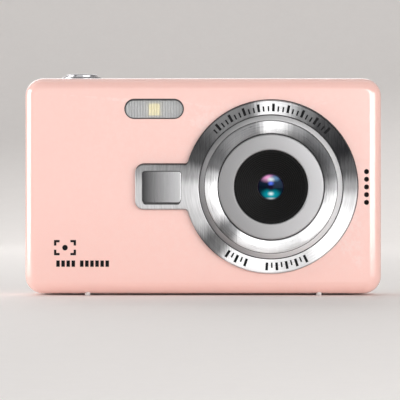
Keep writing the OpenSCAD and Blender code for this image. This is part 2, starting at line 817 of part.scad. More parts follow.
module bezel_step_ring() {
    outer = step_seat_r - seat_gap;
    color([0.6, 0.6, 0.61]) turned([
        [trim_r - trim_shelf, bezel_floor_t], [outer, bezel_floor_t], [outer, bezel_t],
        [trim_r, trim_top - 0.1], [trim_r, trim_shelf_top], [trim_r - trim_shelf, trim_shelf_top]
    ]);
}

module lens_trim_ring() {
    outer = trim_r - seat_gap;
    skirt = trim_r - trim_shelf - seat_gap;
    color(silver) turned([
        [trim_bore_r, 0], [skirt, 0], [skirt, trim_shelf_top], [outer, trim_shelf_top],
        [outer, trim_top - 0.15], [outer - 0.15, trim_top], [trim_bore_r + 0.15, trim_top],
        [trim_bore_r, trim_top - 0.15]
    ]);
}

module lens_nose_ring() {
    shelf = baffle_top - 0.5;
    color([0.72, 0.72, 0.73]) turned([
        [baffle_r + seat_gap, 0], [nose_r, 0], [nose_r, nose_top - 0.4], [nose_r - 0.4, nose_top],
        [nose_bore_r + 0.3, nose_top], [nose_bore_r, nose_top - 0.3], [nose_bore_r, shelf],
        [baffle_r + seat_gap, shelf]
    ]);
}

module lens_baffle() {
    shelf = baffle_top - 0.5;
    bore = glass_r + 0.15;
    color(black_plastic) turned(concat(
        [[bore, 0], [baffle_r, 0], [baffle_r, shelf], [nose_bore_r - seat_gap, shelf],
         [nose_bore_r - seat_gap, baffle_top]],
        ridge_points(nose_bore_r - 0.6, baffle_top, bore, baffle_low, baffle_ridges)
    ));
}

module front_glass() {
    dome = dome_points(glass_r, 0.2, glass_dome);
    color([0.35, 0.3, 0.55]) turned(concat([[0, -1.4], [glass_r, -1.4]], dome));
}

module lens_barrel() {
    throat = 3;
    rear_bore = 3.55;
    front_bore = glass_r + seat_gap;
    color(black_plastic) turned([
        [front_bore, 0], [barrel_r, 0], [barrel_r, -barrel_l], [rear_bore, -barrel_l],
        [rear_bore, -6], [throat, -6], [throat, -2.5], [front_bore, -2.5]
    ]);
}

module rear_lens_element() {
    r = 3.5;
    color([0.6, 0.7, 0.8]) turned(concat([[0, -8.2], [r, -8.2]], dome_points(r, -6.8, 0.6)));
}

module lens_holder() {
    ledge_r = 4.5;
    pocket_r = 7.5;
    color([0.16, 0.16, 0.17]) turned([
        [holder_bore_r, 0], [hub_r, 0], [hub_r, -seal_back_d], [holder_flange_r, -seal_back_d],
        [holder_flange_r, -flange_back_d], [holder_r, -flange_back_d], [holder_r, -holder_end_d],
        [pocket_r, -holder_end_d], [pocket_r, -filter_ledge_d], [ledge_r, -filter_ledge_d],
        [ledge_r, -filter_ledge_d + 0.5], [holder_bore_r, -filter_ledge_d + 0.5]
    ]);
}

module lens_seal() {
    color([0.2, 0.2, 0.2]) turned([
        [cover_bore_r + 0.5, -wall], [holder_flange_r - 0.1, -wall],
        [holder_flange_r - 0.1, -seal_back_d], [cover_bore_r + 0.5, -seal_back_d]
    ]);
}

module ir_filter() {
    color([0.45, 0.75, 0.8]) bar(lens_x, lens_z, filter_ledge_d, filter_ledge_d + filter_t, 6.5);
}

module image_sensor() {
    color([0.2, 0.25, 0.35]) slab(holder_end_d - sensor_t, holder_end_d) translate([lens_x, lens_z])
        square([9, 8], center = true);
}

module sensor_board() {
    color(board_green) slab(holder_end_d, holder_end_d + sensor_board_t) translate([lens_x, lens_z])
        square([sensor_board_w, sensor_board_w], center = true);
}

module sensor_flex() {
    z = lens_z - sensor_board_w / 2 + 2;
    color(gold) block(lens_x - 4, lens_x + 4, holder_end_d + sensor_board_t, board_front_d, z, z + 0.2);
}

module front_mirror() {
    color([0.75, 0.76, 0.78]) slab(-bezel_t - 0.05, -bezel_floor_t)
        translate([lens_x - mirror_reach, lens_z])
        polygon(rounded(mirror_w, mirror_h, 0.75));
}

module flash_window() {
    ribs = floor((flash_w - flash_h / 2) / flash_rib_pitch / 2);
    color([0.85, 0.87, 0.88]) difference() {
        union() {
            slab(-0.1, wall + 0.1) translate([flash_x, flash_z])
                polygon(rounded(flash_w - 2 * seat_gap, flash_h - 2 * seat_gap, flash_h / 2 - 0.1, 12));
            slab(wall, flash_reflector_d) translate([flash_x, flash_z])
                polygon(rounded(flash_body_w, flash_body_h, 1));
        }
        // Upright grooves that spread the light
        for (i = [-ribs:ribs]) {
            x = flash_x + i * flash_rib_pitch;
            block(x - 0.15, x + 0.15, flash_reflector_d - flash_rib_depth, flash_reflector_d + 1,
                  flash_z - flash_h / 2 + 0.6, flash_z + flash_h / 2 - 0.6);
        }
    }
}

module flash_reflector() {
    color([0.93, 0.93, 0.92]) difference() {
        slab(flash_reflector_d, flash_board_d) translate([flash_x, flash_z])
            polygon(rounded(flash_body_w, flash_body_h, 1));
        slab(flash_reflector_d - 1, flash_reflector_d + 1.2) translate([flash_x, flash_z])
            polygon(rounded(flash_w - 0.6, flash_h - 0.6, flash_h / 2 - 0.4));
        slab(flash_reflector_d, flash_board_d + 1) translate([flash_x, flash_z])
            square([flash_led_w + 1.4, flash_led_w + 0.6], center = true);
    }
}

module flash_led() {
    color([0.95, 0.9, 0.55]) slab(flash_board_d - flash_led_t, flash_board_d) translate([flash_x, flash_z])
        square([flash_led_w, flash_led_w], center = true);
}

module flash_board() {
    color(board_green) slab(flash_board_d, flash_board_d + flash_board_t) translate([flash_x, flash_z])
        square([flash_body_w, flash_body_h], center = true);
}

module shutter_button() {
    stem_end = top_switch_z + shutter_travel + flange_gap - top;
    flange_top = -wall - flange_gap;
    color(steel) turned_top(shutter_x, top_button_d, [
        [0, shutter_up], [shutter_r - 0.5, shutter_up],
        [shutter_r, shutter_up - 0.4], [shutter_r, flange_top],
        [collar_bore_r + 0.35, flange_top], [collar_bore_r + 0.35, flange_top - flange_t],
        [stem_r, flange_top - flange_t], [stem_r, stem_end], [0, stem_end]
    ]);
}

module shutter_collar() {
    color(silver) turned_top(shutter_x, top_button_d, [
        [collar_bore_r, -wall], [collar_spigot_r, -wall], [collar_spigot_r, 0], [collar_r, 0],
        [collar_r, collar_up - 0.1], [collar_r - 0.1, collar_up], [collar_bore_r, collar_up]
    ]);
}

module power_button() {
    stem_end = top_switch_z + power_travel + flange_gap - top;
    flange_top = -wall - flange_gap;
    flange_r = power_r + move_gap + 0.4;
    color(steel) turned_top(power_x, top_button_d, [
        [0, power_up], [power_r - 0.2, power_up], [power_r, power_up - 0.2], [power_r, flange_top],
        [flange_r, flange_top], [flange_r, flange_top - flange_t], [stem_r, flange_top - flange_t],
        [stem_r, stem_end], [0, stem_end]
    ]);
}

module top_board() {
    color(board_green) block(top_board_x0, top_board_x1, top_board_d, top_board_d + top_board_l,
                             top_board_z, top_board_z + top_board_t);
}

module zoom_rocker() {
    color(steel) difference() {
        union() {
            slab(zoom_pin_d - 0.2, body_d + key_up_rise) translate([control_x, zoom_z])
                polygon(rounded(zoom_w, zoom_h, 1.2));
            post(control_x, zoom_pin_d, zoom_z - zoom_h / 2, zoom_z + zoom_h / 2, zoom_barrel_r);
            for (side = [-1, 1]) {
                bar(control_x + side * zoom_switch_reach, zoom_z, zoom_pin_d - 0.7, zoom_pin_d, 0.8);
            }
        }
        post(control_x, zoom_pin_d, zoom_z - zoom_h, zoom_z + zoom_h, zoom_pin_r + pin_gap);
    }
}

module zoom_pivot_pin() {
    reach = zoom_h / 2 + zoom_gap + zoom_ear_l - 0.4;
    color(steel) post(control_x, zoom_pin_d, zoom_z - reach, zoom_z + reach, zoom_pin_r);
}

// A round rear button with its retaining flange and stem
module round_button(place, r, rise) {
    flange_top = -wall - flange_gap;
    stem_end = key_bottom_d - body_d;
    turned_rear(place[0], place[1], [
        [0, rise], [r - 0.3, rise], [r, rise - 0.3], [r, flange_top], [r + key_flange, flange_top],
        [r + key_flange, flange_top - flange_t], [stem_r, flange_top - flange_t],
        [stem_r, stem_end], [0, stem_end]
    ]);
}

module mode_button() {
    color(steel) round_button(round_places[0], round_r, key_up_rise);
}

module menu_button() {
    color(steel) round_button(round_places[1], round_r, key_up_rise);
}

module playback_button() {
    color(steel) round_button(round_places[2], round_r, key_up_rise);
}

module delete_button() {
    color(steel) round_button(round_places[3], round_r, key_up_rise);
}

module ok_button() {
    flange_top = -wall - flange_gap;
    stem_end = key_bottom_d - body_d;
    color(steel) turned_rear(control_x, control_z, [
        [0, ok_up], [ok_r - 0.4, ok_up], [ok_r, ok_up - 0.4], [ok_r, flange_top - flange_t],
        [stem_r, flange_top - flange_t], [stem_r, stem_end], [0, stem_end]
    ]);
}

// A quarter of the pad's ring, pointing right before it is turned
module pad_key(angle) {
    flange_top = -wall - flange_gap;
    reach = 2 * pad_r;
    shift = pad_gap / 2 * sqrt(2);
    color(steel) {
        difference() {
            turned_rear(control_x, control_z, [
                [pad_inner_r, key_up_rise], [pad_r - 0.3, key_up_rise], [pad_r, key_up_rise - 0.3],
                [pad_r, flange_top], [pad_r + key_flange, flange_top],
                [pad_r + key_flange, flange_top - flange_t], [pad_inner_r, flange_top - flange_t]
            ]);
            translate([control_x, 0, control_z]) rotate([0, -angle, 0]) slab(0, body_d + 2) polygon([
                [shift, 0], [shift + reach, reach], [-reach, reach],
                [-reach, -reach], [shift + reach, -reach]
            ]);
        }
        translate([control_x, 0, control_z]) rotate([0, -angle, 0])
            bar(pad_stem_reach, 0, key_bottom_d, key_flange_d - 0.1, 0.9);
    }
}

module key_right() {
    pad_key(0);
}

module key_up() {
    pad_key(90);
}

module key_left() {
    pad_key(180);
}

module key_down() {
    pad_key(270);
}

module status_light() {
    color([0.5, 0.85, 0.5]) bar(light_x, zoom_z, rear_wall_d - 0.6, body_d, light_r);
}

module lcd_window() {
    color([0.03, 0.03, 0.04]) slab(body_d - seat_gap - screen_t, body_d - seat_gap)
        translate([screen_x, screen_z])
        polygon(rounded(screen_w, screen_h, screen_corner_r));
}

module lcd_panel() {
    color([0.12, 0.13, 0.16]) slab(panel_front_d, rear_wall_d) translate([screen_x, screen_z])
        square([panel_w, panel_h], center = true);
}

module lcd_frame() {
    color(steel) difference() {
        slab(panel_front_d - frame_t, rear_wall_d - 0.2) translate([screen_x, screen_z])
            square([panel_w + 2 * frame_t, panel_h + 2 * frame_t], center = true);
        slab(panel_front_d, body_d) translate([screen_x, screen_z])
            square([panel_w, panel_h], center = true);
    }
}

module lcd_flex() {
    t = 0.15;
    low = screen_z - panel_h / 2 - frame_t - 0.9;
    rim = screen_z - panel_h / 2 - frame_t;
    out = panel_front_d + 1;
    color(gold) along_x(screen_x - 8, screen_x + 8) polygon([
        [board_rear_d, low + 4], [board_rear_d, low], [out + t, low], [out + t, rim], [out, rim],
        [out, low + t], [board_rear_d + t, low + t], [board_rear_d + t, low + 4]
    ]);
}

module main_board() {
    color(board_green) difference() {
        block(board_x0, board_x1, board_front_d, board_rear_d, board_z0, board_z1);
        for (place = board_screw_places) {
            bar(place[0], place[1], board_front_d - 1, board_rear_d + 1, board_shank_r + 0.1);
        }
    }
}

module processor_chip() {
    z = lens_z + 3;
    color(black_plastic) block(lens_x - chip_w / 2, lens_x + chip_w / 2, board_front_d - 1, board_front_d,
                               z - chip_w / 2, z + chip_w / 2);
}

// A push switch on the rear of the main board
module rear_switch(x, z) {
    half = switch_w / 2;
    block(x - half, x + half, board_rear_d, board_rear_d + switch_h, z - half, z + half);
}

module tact_switches() {
    half = switch_w / 2;
    color([0.25, 0.25, 0.27]) {
        for (x = [shutter_x, power_x]) {
            block(x - half, x + half, top_button_d - half, top_button_d + half,
                  top_board_z + top_board_t, top_switch_z);
        }
        rear_switch(control_x, control_z);
        for (a = [0:90:270]) {
            rear_switch(control_x + pad_stem_reach * cos(a), control_z + pad_stem_reach * sin(a));
        }
        for (place = round_places) {
            rear_switch(place[0], place[1]);
        }
        for (side = [-1, 1]) {
            rear_switch(control_x + side * zoom_switch_reach, zoom_z);
        }
    }
}

module usb_socket() {
    x1 = right - usb_inset;
    x0 = x1 - usb_l;
    color(steel) {
        difference() {
            along_x(x0, x1) translate([usb_d, usb_z]) polygon(rounded(usb_t, usb_w, usb_t / 2 - 0.1));
            along_x(x0 + 1, x1 + 1) translate([usb_d, usb_z])
                polygon(rounded(usb_t - 2 * usb_shell, usb_w - 2 * usb_shell, usb_t / 2 - usb_shell - 0.1));
        }
        block(x0, x1 - 1.2, usb_d - 0.35, usb_d + 0.35, usb_z - usb_w / 2 + 1.3, usb_z + usb_w / 2 - 1.3);
        block(x0, board_x1, usb_d + usb_t / 2 - 0.15, board_front_d, usb_z - 2.5, usb_z + 2.5);
    }
}

module card_socket() {
    x1 = right - 2.2;
    x0 = right - card_inset - card_l - card_slot_gap - 1.5;
    half_t = card_t / 2 + card_slot_gap;
    half_w = card_w / 2 + card_slot_gap;
    color(steel) {
        difference() {
            block(x0, x1, card_d - half_t - card_shell, card_d + half_t + card_shell,
                  card_z - half_w - card_shell, card_z + half_w + card_shell);
            block(x0 + 1.5, right, card_d - half_t, card_d + half_t, card_z - half_w, card_z + half_w);
        }
        for (x = [x0 + 0.5, board_x1 - 2.5], z = [card_z - half_w, card_z + half_w - 1.5]) {
            block(x, x + 1.5, card_d + half_t + card_shell - 0.1, board_front_d, z, z + 1.5);
        }
    }
}

module memory_card() {
    x1 = right - card_inset;
    color(black_plastic) block(x1 - card_l, x1, card_d - card_t / 2, card_d + card_t / 2,
                               card_z - card_w / 2, card_z + card_w / 2);
}

module microphone() {
    color(steel) post(mic_x, top_button_d, top - wall - 1.8, top - wall, mic_r);
}

module speaker() {
    color([0.3, 0.3, 0.32]) slab(sound_rim_d, sound_rim_d + speaker_t) translate([sound_x, lens_z])
        square([sound_rim_w, sound_rim_h], center = true);
}

module battery() {
    color([0.25, 0.28, 0.33])
        block(battery_x0, battery_x1, battery_d, battery_d + battery_t, battery_z0, battery_z1);
}

module battery_contacts() {
    t = 0.3;
    d0 = battery_d + 1.2;
    d1 = battery_d + battery_t - 1.2;
    z0 = battery_z1;
    z1 = battery_z1 + contact_h;
    color(gold) for (i = [-1:1]) {
        x = door_mid_x + 4 * i;
        along_x(x - 0.8, x + 0.8) polygon([
            [d0, z0], [d1, z0], [d1, z1], [d0, z1],
            [d0, z1 - t], [d1 - t, z1 - t], [d1 - t, z0 + t], [d0, z0 + t]
        ]);
    }
}

module battery_door() {
    grip_r = 4;
    grip_sink = 0.5;
    color(shell_pink) difference() {
        union() {
            block(bay_x0, bay_x1, door_front_d, door_rear_d, bottom, bottom + door_t);
            block(knuckle_x0, knuckle_x1, door_rear_d - 0.5, hinge_d, bottom, bottom + door_t);
            axle(hinge_d, hinge_z, knuckle_x0, knuckle_x1, knuckle_r);
        }
        axle(hinge_d, hinge_z, knuckle_x0 - 1, knuckle_x1 + 1, hinge_pin_r + pin_gap);
        // Round relief that lets the rear edge swing past the cover
        axle(hinge_d, hinge_z, bay_x0 - 1, knuckle_x0, door_relief_r);
        axle(hinge_d, hinge_z, knuckle_x1, bay_x1 + 1, door_relief_r);
        // Finger groove near the front edge
        axle(door_front_d + 2.6, bottom - grip_r + grip_sink, door_mid_x - 6, door_mid_x + 6, grip_r);
    }
}

module door_hinge_pin() {
    reach = knuckle_l / 2 + ear_gap + ear_l - 0.8;
    color(steel) axle(hinge_d, hinge_z, door_mid_x - reach, door_mid_x + reach, hinge_pin_r);
}

module tripod_socket() {
    color(gold) difference() {
        post(lens_x, tripod_d, bottom, bottom + tripod_l, tripod_outer_r);
        post(lens_x, tripod_d, bottom - 1, bottom + tripod_l + 1, tripod_r);
    }
}

module strap_post() {
    reach = strap_pocket_h / 2 + 0.6;
    color(steel) post(left + strap_post_in, strap_d, strap_z - reach, strap_z + reach, strap_r);
}

module case_screws() {
    color(steel) {
        for (x = bottom_front_screws) {
            translate([x, y_front + screw_front_d, bottom + head_in]) screw(head_h, shank_l, shank_r);
        }
        for (x = bottom_rear_screws) {
            translate([x, y_front + screw_rear_d, bottom + head_in]) screw(head_h, shank_l, shank_r);
        }
        translate([left + head_in, y_front + side_screw_d, side_screw_z]) rotate([0, 90, 0])
            screw(head_h, shank_l, shank_r);
        translate([right - head_in, y_front + side_screw_d, side_screw_z]) rotate([0, -90, 0])
            screw(head_h, shank_l, shank_r);
    }
}

module board_screws() {
    color(steel) for (place = board_screw_places) {
        translate([place[0], y_front + board_rear_d + board_head_h, place[1]]) rotate([90, 0, 0])
            screw(board_head_h, board_shank_l, board_shank_r);
    }
}

module feet() {
    color([0.85, 0.85, 0.84]) for (x = [-foot_x, foot_x], d = [foot_front_d, body_d - foot_rear_in]) {
        post(x, d, 0, bottom + foot_peg, foot_r);
    }
}

front_cover();
rear_cover();
mid_frame();
lens_bezel();
bezel_step_ring();
lens_trim_ring();
lens_nose_ring();
lens_baffle();
front_glass();
lens_barrel();
rear_lens_element();
lens_holder();
lens_seal();
ir_filter();
image_sensor();
sensor_board();
sensor_flex();
front_mirror();
flash_window();
flash_reflector();
flash_led();
flash_board();
shutter_button();
shutter_collar();
power_button();
top_board();
zoom_rocker();
zoom_pivot_pin();
mode_button();
menu_button();
key_up();
key_down();
key_left();
key_right();
ok_button();
playback_button();
delete_button();
status_light();
lcd_window();
lcd_panel();
lcd_frame();
lcd_flex();
main_board();
processor_chip();
tact_switches();
usb_socket();
card_socket();
memory_card();
microphone();
speaker();
battery();
battery_contacts();
battery_door();
door_hinge_pin();
tripod_socket();
strap_post();
case_screws();
board_screws();
feet();
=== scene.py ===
import json
import math

import bmesh
import bpy
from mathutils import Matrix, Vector


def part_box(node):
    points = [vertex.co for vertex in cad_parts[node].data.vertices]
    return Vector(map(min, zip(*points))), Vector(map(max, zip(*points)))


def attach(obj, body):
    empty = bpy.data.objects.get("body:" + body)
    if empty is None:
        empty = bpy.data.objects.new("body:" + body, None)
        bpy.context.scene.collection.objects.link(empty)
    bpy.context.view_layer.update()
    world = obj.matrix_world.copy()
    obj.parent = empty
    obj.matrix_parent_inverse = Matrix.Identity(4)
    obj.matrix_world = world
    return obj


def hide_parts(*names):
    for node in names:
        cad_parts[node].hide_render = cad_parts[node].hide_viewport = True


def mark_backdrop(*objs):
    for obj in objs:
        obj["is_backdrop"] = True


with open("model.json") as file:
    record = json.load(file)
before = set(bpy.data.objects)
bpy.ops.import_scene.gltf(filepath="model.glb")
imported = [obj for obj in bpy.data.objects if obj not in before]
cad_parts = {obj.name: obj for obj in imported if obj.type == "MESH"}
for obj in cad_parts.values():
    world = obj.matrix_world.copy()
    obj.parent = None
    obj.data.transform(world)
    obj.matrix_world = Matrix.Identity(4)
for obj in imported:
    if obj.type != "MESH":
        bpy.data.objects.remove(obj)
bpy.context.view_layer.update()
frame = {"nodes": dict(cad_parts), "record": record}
scene = bpy.context.scene
mm = 0.001
toFront = Vector((0, -1, 0))
toRear = Vector((0, 1, 0))
toTop = Vector((0, 0, 1))
toRight = Vector((1, 0, 0))


# places taken from the frame

def lowOf(node):
    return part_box(node)[0]


def highOf(node):
    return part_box(node)[1]


def middleOf(node):
    return (lowOf(node) + highOf(node)) / 2


def bodyOf(node):
    bodies = frame["record"]["behaviour"]["bodies"]
    return [body for body, members in bodies.items() if node in members][0]


def slotOf(node):
    return [part["material_slot"] for part in frame["record"]["subparts"] if part["node"] == node][0]


faceY = lowOf("front_cover").y  # front face of the case
backY = highOf("rear_cover").y  # rear face of the case
topZ = highOf("front_cover").z


def frontPlace(node):
    return Vector((middleOf(node).x, faceY, middleOf(node).z))


def rearPlace(node, rise=0.0):
    return Vector((middleOf(node).x, backY + rise * mm, middleOf(node).z))


def topPlace(node):
    return Vector((middleOf(node).x, middleOf(node).y, topZ))


lensMid = middleOf("lens_nose_ring")
lensBase = frontPlace("lens_nose_ring")  # lens axis on the front face
print("frame: places read")


# mesh helpers

def linkPiece(name, bm, sharpAngle=35):
    bmesh.ops.recalc_face_normals(bm, faces=bm.faces)
    mesh = bpy.data.meshes.new(name)
    bm.to_mesh(mesh)
    bm.free()
    mesh.shade_smooth()
    mesh.set_sharp_from_angle(angle=math.radians(sharpAngle))
    piece = bpy.data.objects.new(name, mesh)
    scene.collection.objects.link(piece)
    return piece


def settle(piece):
    # takes the modifiers' result as the piece's own mesh
    bpy.context.view_layer.update()
    graph = bpy.context.evaluated_depsgraph_get()
    mesh = bpy.data.meshes.new_from_object(piece.evaluated_get(graph))
    piece.modifiers.clear()
    piece.data = mesh
    return piece


def keepFlats(piece):
    # large flat faces keep their own normal, so only the edges look round
    weighted = piece.modifiers.new("weighted", "WEIGHTED_NORMAL")
    weighted.keep_sharp = True
    weighted.weight = 80
    return settle(piece)


def flattenFlats(piece):
    # faces square to an axis take exactly that direction, so wide faces show no creases
    mesh = piece.data
    normals = [Vector(corner.vector) for corner in mesh.corner_normals]
    for face in mesh.polygons:
        if max(abs(part) for part in face.normal) > 0.99998:
            for i in face.loop_indices:
                normals[i] = face.normal.copy()
    mesh.normals_split_custom_set([tuple(normal) for normal in normals])
    return piece


def roundCorners(points, radius, closed=True, steps=4):
    rounded = []
    for i, point in enumerate(points):
        if not closed and i in (0, len(points) - 1):
            rounded.append(tuple(point))
            continue
        here = Vector(point)
        before = Vector(points[i - 1]) - here
        after = Vector(points[(i + 1) % len(points)]) - here
        reach = min(radius, 0.45 * before.length, 0.45 * after.length)
        start = here + before.normalized() * reach
        end = here + after.normalized() * reach
        for k in range(steps + 1):
            t = k / steps
            rounded.append(tuple(start * (1 - t) ** 2 + here * 2 * t * (1 - t) + end * t * t))
    return rounded


def lathe(name, profile, base, axis, closed=True, steps=160):
    # profile holds (radius, height) in mm, turned round the axis through base
    bm = bmesh.new()
    out = Vector(axis)
    side = toTop.copy() if abs(out.z) < 0.5 else toRight.copy()
    other = out.cross(side)
    rings = []
    for radius, height in profile:
        centre = base + out * height * mm
        if radius < 1e-6:
            rings.append([bm.verts.new(centre)])
            continue
        turn = [2 * math.pi * i / steps for i in range(steps)]
        rings.append([bm.verts.new(centre + (side * math.cos(a) + other * math.sin(a)) * radius * mm)
                      for a in turn])
    pairs = list(zip(rings, rings[1:]))
    if closed:
        pairs.append((rings[-1], rings[0]))
    for one, two in pairs:
        for i in range(steps):
            j = (i + 1) % steps
            if len(one) == 1:
                bm.faces.new([one[0], two[i], two[j]])
            elif len(two) == 1:
                bm.faces.new([one[i], one[j], two[0]])
            else:
                bm.faces.new([one[i], one[j], two[j], two[i]])
    return linkPiece(name, bm)


def loft(name, outline, layers, base):
    # outline holds (across, up) in mm seen from the front; each layer is (inset, rise) in mm
    bm = bmesh.new()
    count = len(outline)
    inward = []
    for i in range(count):
        along = Vector(outline[(i + 1) % count]) - Vector(outline[i - 1])
        inward.append(Vector((-along.y, along.x)).normalized())
    rings = []
    for inset, rise in layers:
        flat = [Vector(p) + n * inset for p, n in zip(outline, inward)]
        rings.append([bm.verts.new(base + (toRight * p.x + toTop * p.y + toFront * rise) * mm)
                      for p in flat])
    for one, two in zip(rings, rings[1:]):
        for i in range(count):
            j = (i + 1) % count
            bm.faces.new([one[i], one[j], two[j], two[i]])
    bm.faces.new(rings[0])
    bm.faces.new(rings[-1])
    return linkPiece(name, bm)


def roundedBox(width, height, radius, steps=8):
    # outline of a rectangle with rounded corners, counter-clockwise, in mm
    points = []
    for k, (sx, sz) in enumerate(((1, 1), (-1, 1), (-1, -1), (1, -1))):
        for i in range(steps + 1):
            a = math.radians(90 * k + 90 * i / steps)
            points.append((sx * (width / 2 - radius) + radius * math.cos(a),
                           sz * (height / 2 - radius) + radius * math.sin(a)))
    return points


def softCopy(node, name, edge=0.08, angle=32, segments=2):
    # the node's own shape, with its sharp edges broken by a fine radius
    bm = bmesh.new()
    bm.from_mesh(frame["nodes"][node].data)
    bmesh.ops.remove_doubles(bm, verts=bm.verts, dist=2e-6)
    bmesh.ops.dissolve_limit(bm, angle_limit=math.radians(0.4), verts=bm.verts, edges=bm.edges)
    piece = linkPiece(name, bm)
    bevel = piece.modifiers.new("bevel", "BEVEL")
    bevel.width = edge * mm
    bevel.segments = segments
    bevel.limit_method = "ANGLE"
    bevel.angle_limit = math.radians(angle)
    bevel.use_clamp_overlap = True
    settle(piece)
    piece.data.shade_smooth()
    piece.data.set_sharp_from_angle(angle=math.radians(40))
    return flattenFlats(keepFlats(piece))


def carve(piece, cutter):
    cut = piece.modifiers.new("cut", "BOOLEAN")
    cut.operation = "DIFFERENCE"
    cut.solver = "EXACT"
    cut.object = cutter
    settle(piece)
    bpy.data.objects.remove(cutter)
    return piece


def fit(piece, material, body, slot, *nodes):
    # gives a finished piece its material and its body, and hides the nodes that it stands for
    piece.data.materials.clear()
    piece.data.materials.append(material)
    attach(piece, body)
    if nodes:
        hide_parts(*nodes)
    return piece


# shader helpers

def newGroup(name, inputs, outputs):
    tree = bpy.data.node_groups.new(name, "ShaderNodeTree")
    for label, default in inputs:
        kind = "NodeSocketVector" if isinstance(default, tuple) else "NodeSocketFloat"
        socket = tree.interface.new_socket(label, in_out="INPUT", socket_type=kind)
        socket.default_value = default
    for label in outputs:
        tree.interface.new_socket(label, in_out="OUTPUT", socket_type="NodeSocketFloat")
    return tree, tree.nodes.new("NodeGroupInput"), tree.nodes.new("NodeGroupOutput")


def addMath(tree, operation, one, two=None, clamp=False):
    node = tree.nodes.new("ShaderNodeMath")
    node.operation = operation
    node.use_clamp = clamp
    for socket, value in zip(node.inputs, (one, two)):
        if value is None:
            continue
        if isinstance(value, (int, float)):
            socket.default_value = value
        else:
            tree.links.new(value, socket)
    return node.outputs[0]


def addVector(tree, operation, one, two):
    node = tree.nodes.new("ShaderNodeVectorMath")
    node.operation = operation
    for socket, value in zip(node.inputs, (one, two)):
        if isinstance(value, (tuple, list, Vector)):
            socket.default_value = tuple(value)
        else:
            tree.links.new(value, socket)
    return node.outputs["Value" if operation in ("LENGTH", "DOT_PRODUCT") else "Vector"]


def addRange(tree, value, fromLow, fromHigh, toLow=0.0, toHigh=1.0, smooth=False):
    node = tree.nodes.new("ShaderNodeMapRange")
    node.interpolation_type = "SMOOTHSTEP" if smooth else "LINEAR"
    node.inputs["From Min"].default_value = fromLow
    node.inputs["From Max"].default_value = fromHigh
    node.inputs["To Min"].default_value = toLow
    node.inputs["To Max"].default_value = toHigh
    tree.links.new(value, node.inputs["Value"])
    return node.outputs["Result"]


def addNoise(tree, vector, scale, detail=3.0, roughness=0.55):
    node = tree.nodes.new("ShaderNodeTexNoise")
    tree.links.new(vector, node.inputs["Vector"])
    node.inputs["Detail"].default_value = detail
    node.inputs["Roughness"].default_value = roughness
    if isinstance(scale, (int, float)):
        node.inputs["Scale"].default_value = scale
    else:
        tree.links.new(scale, node.inputs["Scale"])
    return node.outputs["Fac"]


def objectPlace(tree):
    return tree.nodes.new("ShaderNodeTexCoord").outputs["Object"]


def splitAxes(tree, vector):
    node = tree.nodes.new("ShaderNodeSeparateXYZ")
    tree.links.new(vector, node.inputs[0])
    return node.outputs


def offsetFrom(tree, centre):
    return addVector(tree, "SUBTRACT", objectPlace(tree), centre)


def roundAxis(tree, centre):
    # the offset from the axis in the plane of the front face, and its length in mm
    flat = addVector(tree, "MULTIPLY", offsetFrom(tree, centre), (1.0, 0.0, 1.0))
    return flat, addMath(tree, "MULTIPLY", addVector(tree, "LENGTH", flat, (0, 0, 0)), 1000.0)


def mixTwo(tree, one, share, two, other):
    return addMath(tree, "ADD", addMath(tree, "MULTIPLY", one, share), addMath(tree, "MULTIPLY", two, other))


def addRamp(tree, value, stops, style="LINEAR"):
    # stops holds (position, colour), from 0 to 1
    ramp = tree.nodes.new("ShaderNodeValToRGB")
    ramp.color_ramp.interpolation = style
    elements = ramp.color_ramp.elements
    for element, (position, colour) in zip(elements, (stops[0], stops[-1])):
        element.position = position
        element.color = (*colour, 1)
    for position, colour in stops[1:-1]:
        elements.new(position).color = (*colour, 1)
    tree.links.new(value, ramp.inputs["Fac"])
    return ramp.outputs["Color"]


def buildGrain():
    # fine moulded or sprayed grain; Size is in millimetres
    tree, given, result = newGroup("grain", [("Size", 0.3), ("Contrast", 1.0)], ["Height", "Mask"])
    place = objectPlace(tree)
    scale = addMath(tree, "DIVIDE", 1000.0, given.outputs["Size"])
    fine = addNoise(tree, place, scale, 4.0, 0.6)
    coarse = addNoise(tree, place, addMath(tree, "MULTIPLY", scale, 0.31), 2.0)
    both = mixTwo(tree, fine, 0.65, coarse, 0.35)
    spread = addMath(tree, "MULTIPLY", addMath(tree, "SUBTRACT", both, 0.5), given.outputs["Contrast"])
    tree.links.new(addMath(tree, "ADD", spread, 0.5, True), result.inputs["Height"])
    tree.links.new(addRange(tree, both, 0.42, 0.62), result.inputs["Mask"])
    return tree


def buildBrush():
    # parallel brush lines; Squeeze is small along the lines, Size is their pitch in millimetres
    inputs = [("Size", 0.12), ("Squeeze", (1.0, 1.0, 0.02))]
    tree, given, result = newGroup("brushLines", inputs, ["Height", "Mask"])
    squeezed = addVector(tree, "MULTIPLY", objectPlace(tree), given.outputs["Squeeze"])
    scale = addMath(tree, "DIVIDE", 1000.0, given.outputs["Size"])
    fine = addNoise(tree, squeezed, scale, 2.0, 0.7)
    broad = addNoise(tree, squeezed, addMath(tree, "MULTIPLY", scale, 0.18), 2.0)
    both = mixTwo(tree, fine, 0.6, broad, 0.4)
    tree.links.new(both, result.inputs["Height"])
    tree.links.new(addRange(tree, both, 0.36, 0.64), result.inputs["Mask"])
    return tree


def buildTurned():
    # lathe marks: rings round an axis in depth; Pitch is in millimetres
    tree, given, result = newGroup("turnedLines", [("Centre", (0.0, 0.0, 0.0)), ("Pitch", 0.15)], ["Height"])
    flat, radius = roundAxis(tree, given.outputs["Centre"])
    turns = addMath(tree, "DIVIDE", radius, given.outputs["Pitch"])
    wobble = addNoise(tree, flat, 260.0, 2.0)
    wave = addMath(tree, "SINE", addMath(tree, "ADD", addMath(tree, "MULTIPLY", turns, math.tau), wobble))
    tree.links.new(addMath(tree, "ADD", addMath(tree, "MULTIPLY", wave, 0.5), 0.5), result.inputs["Height"])
    return tree


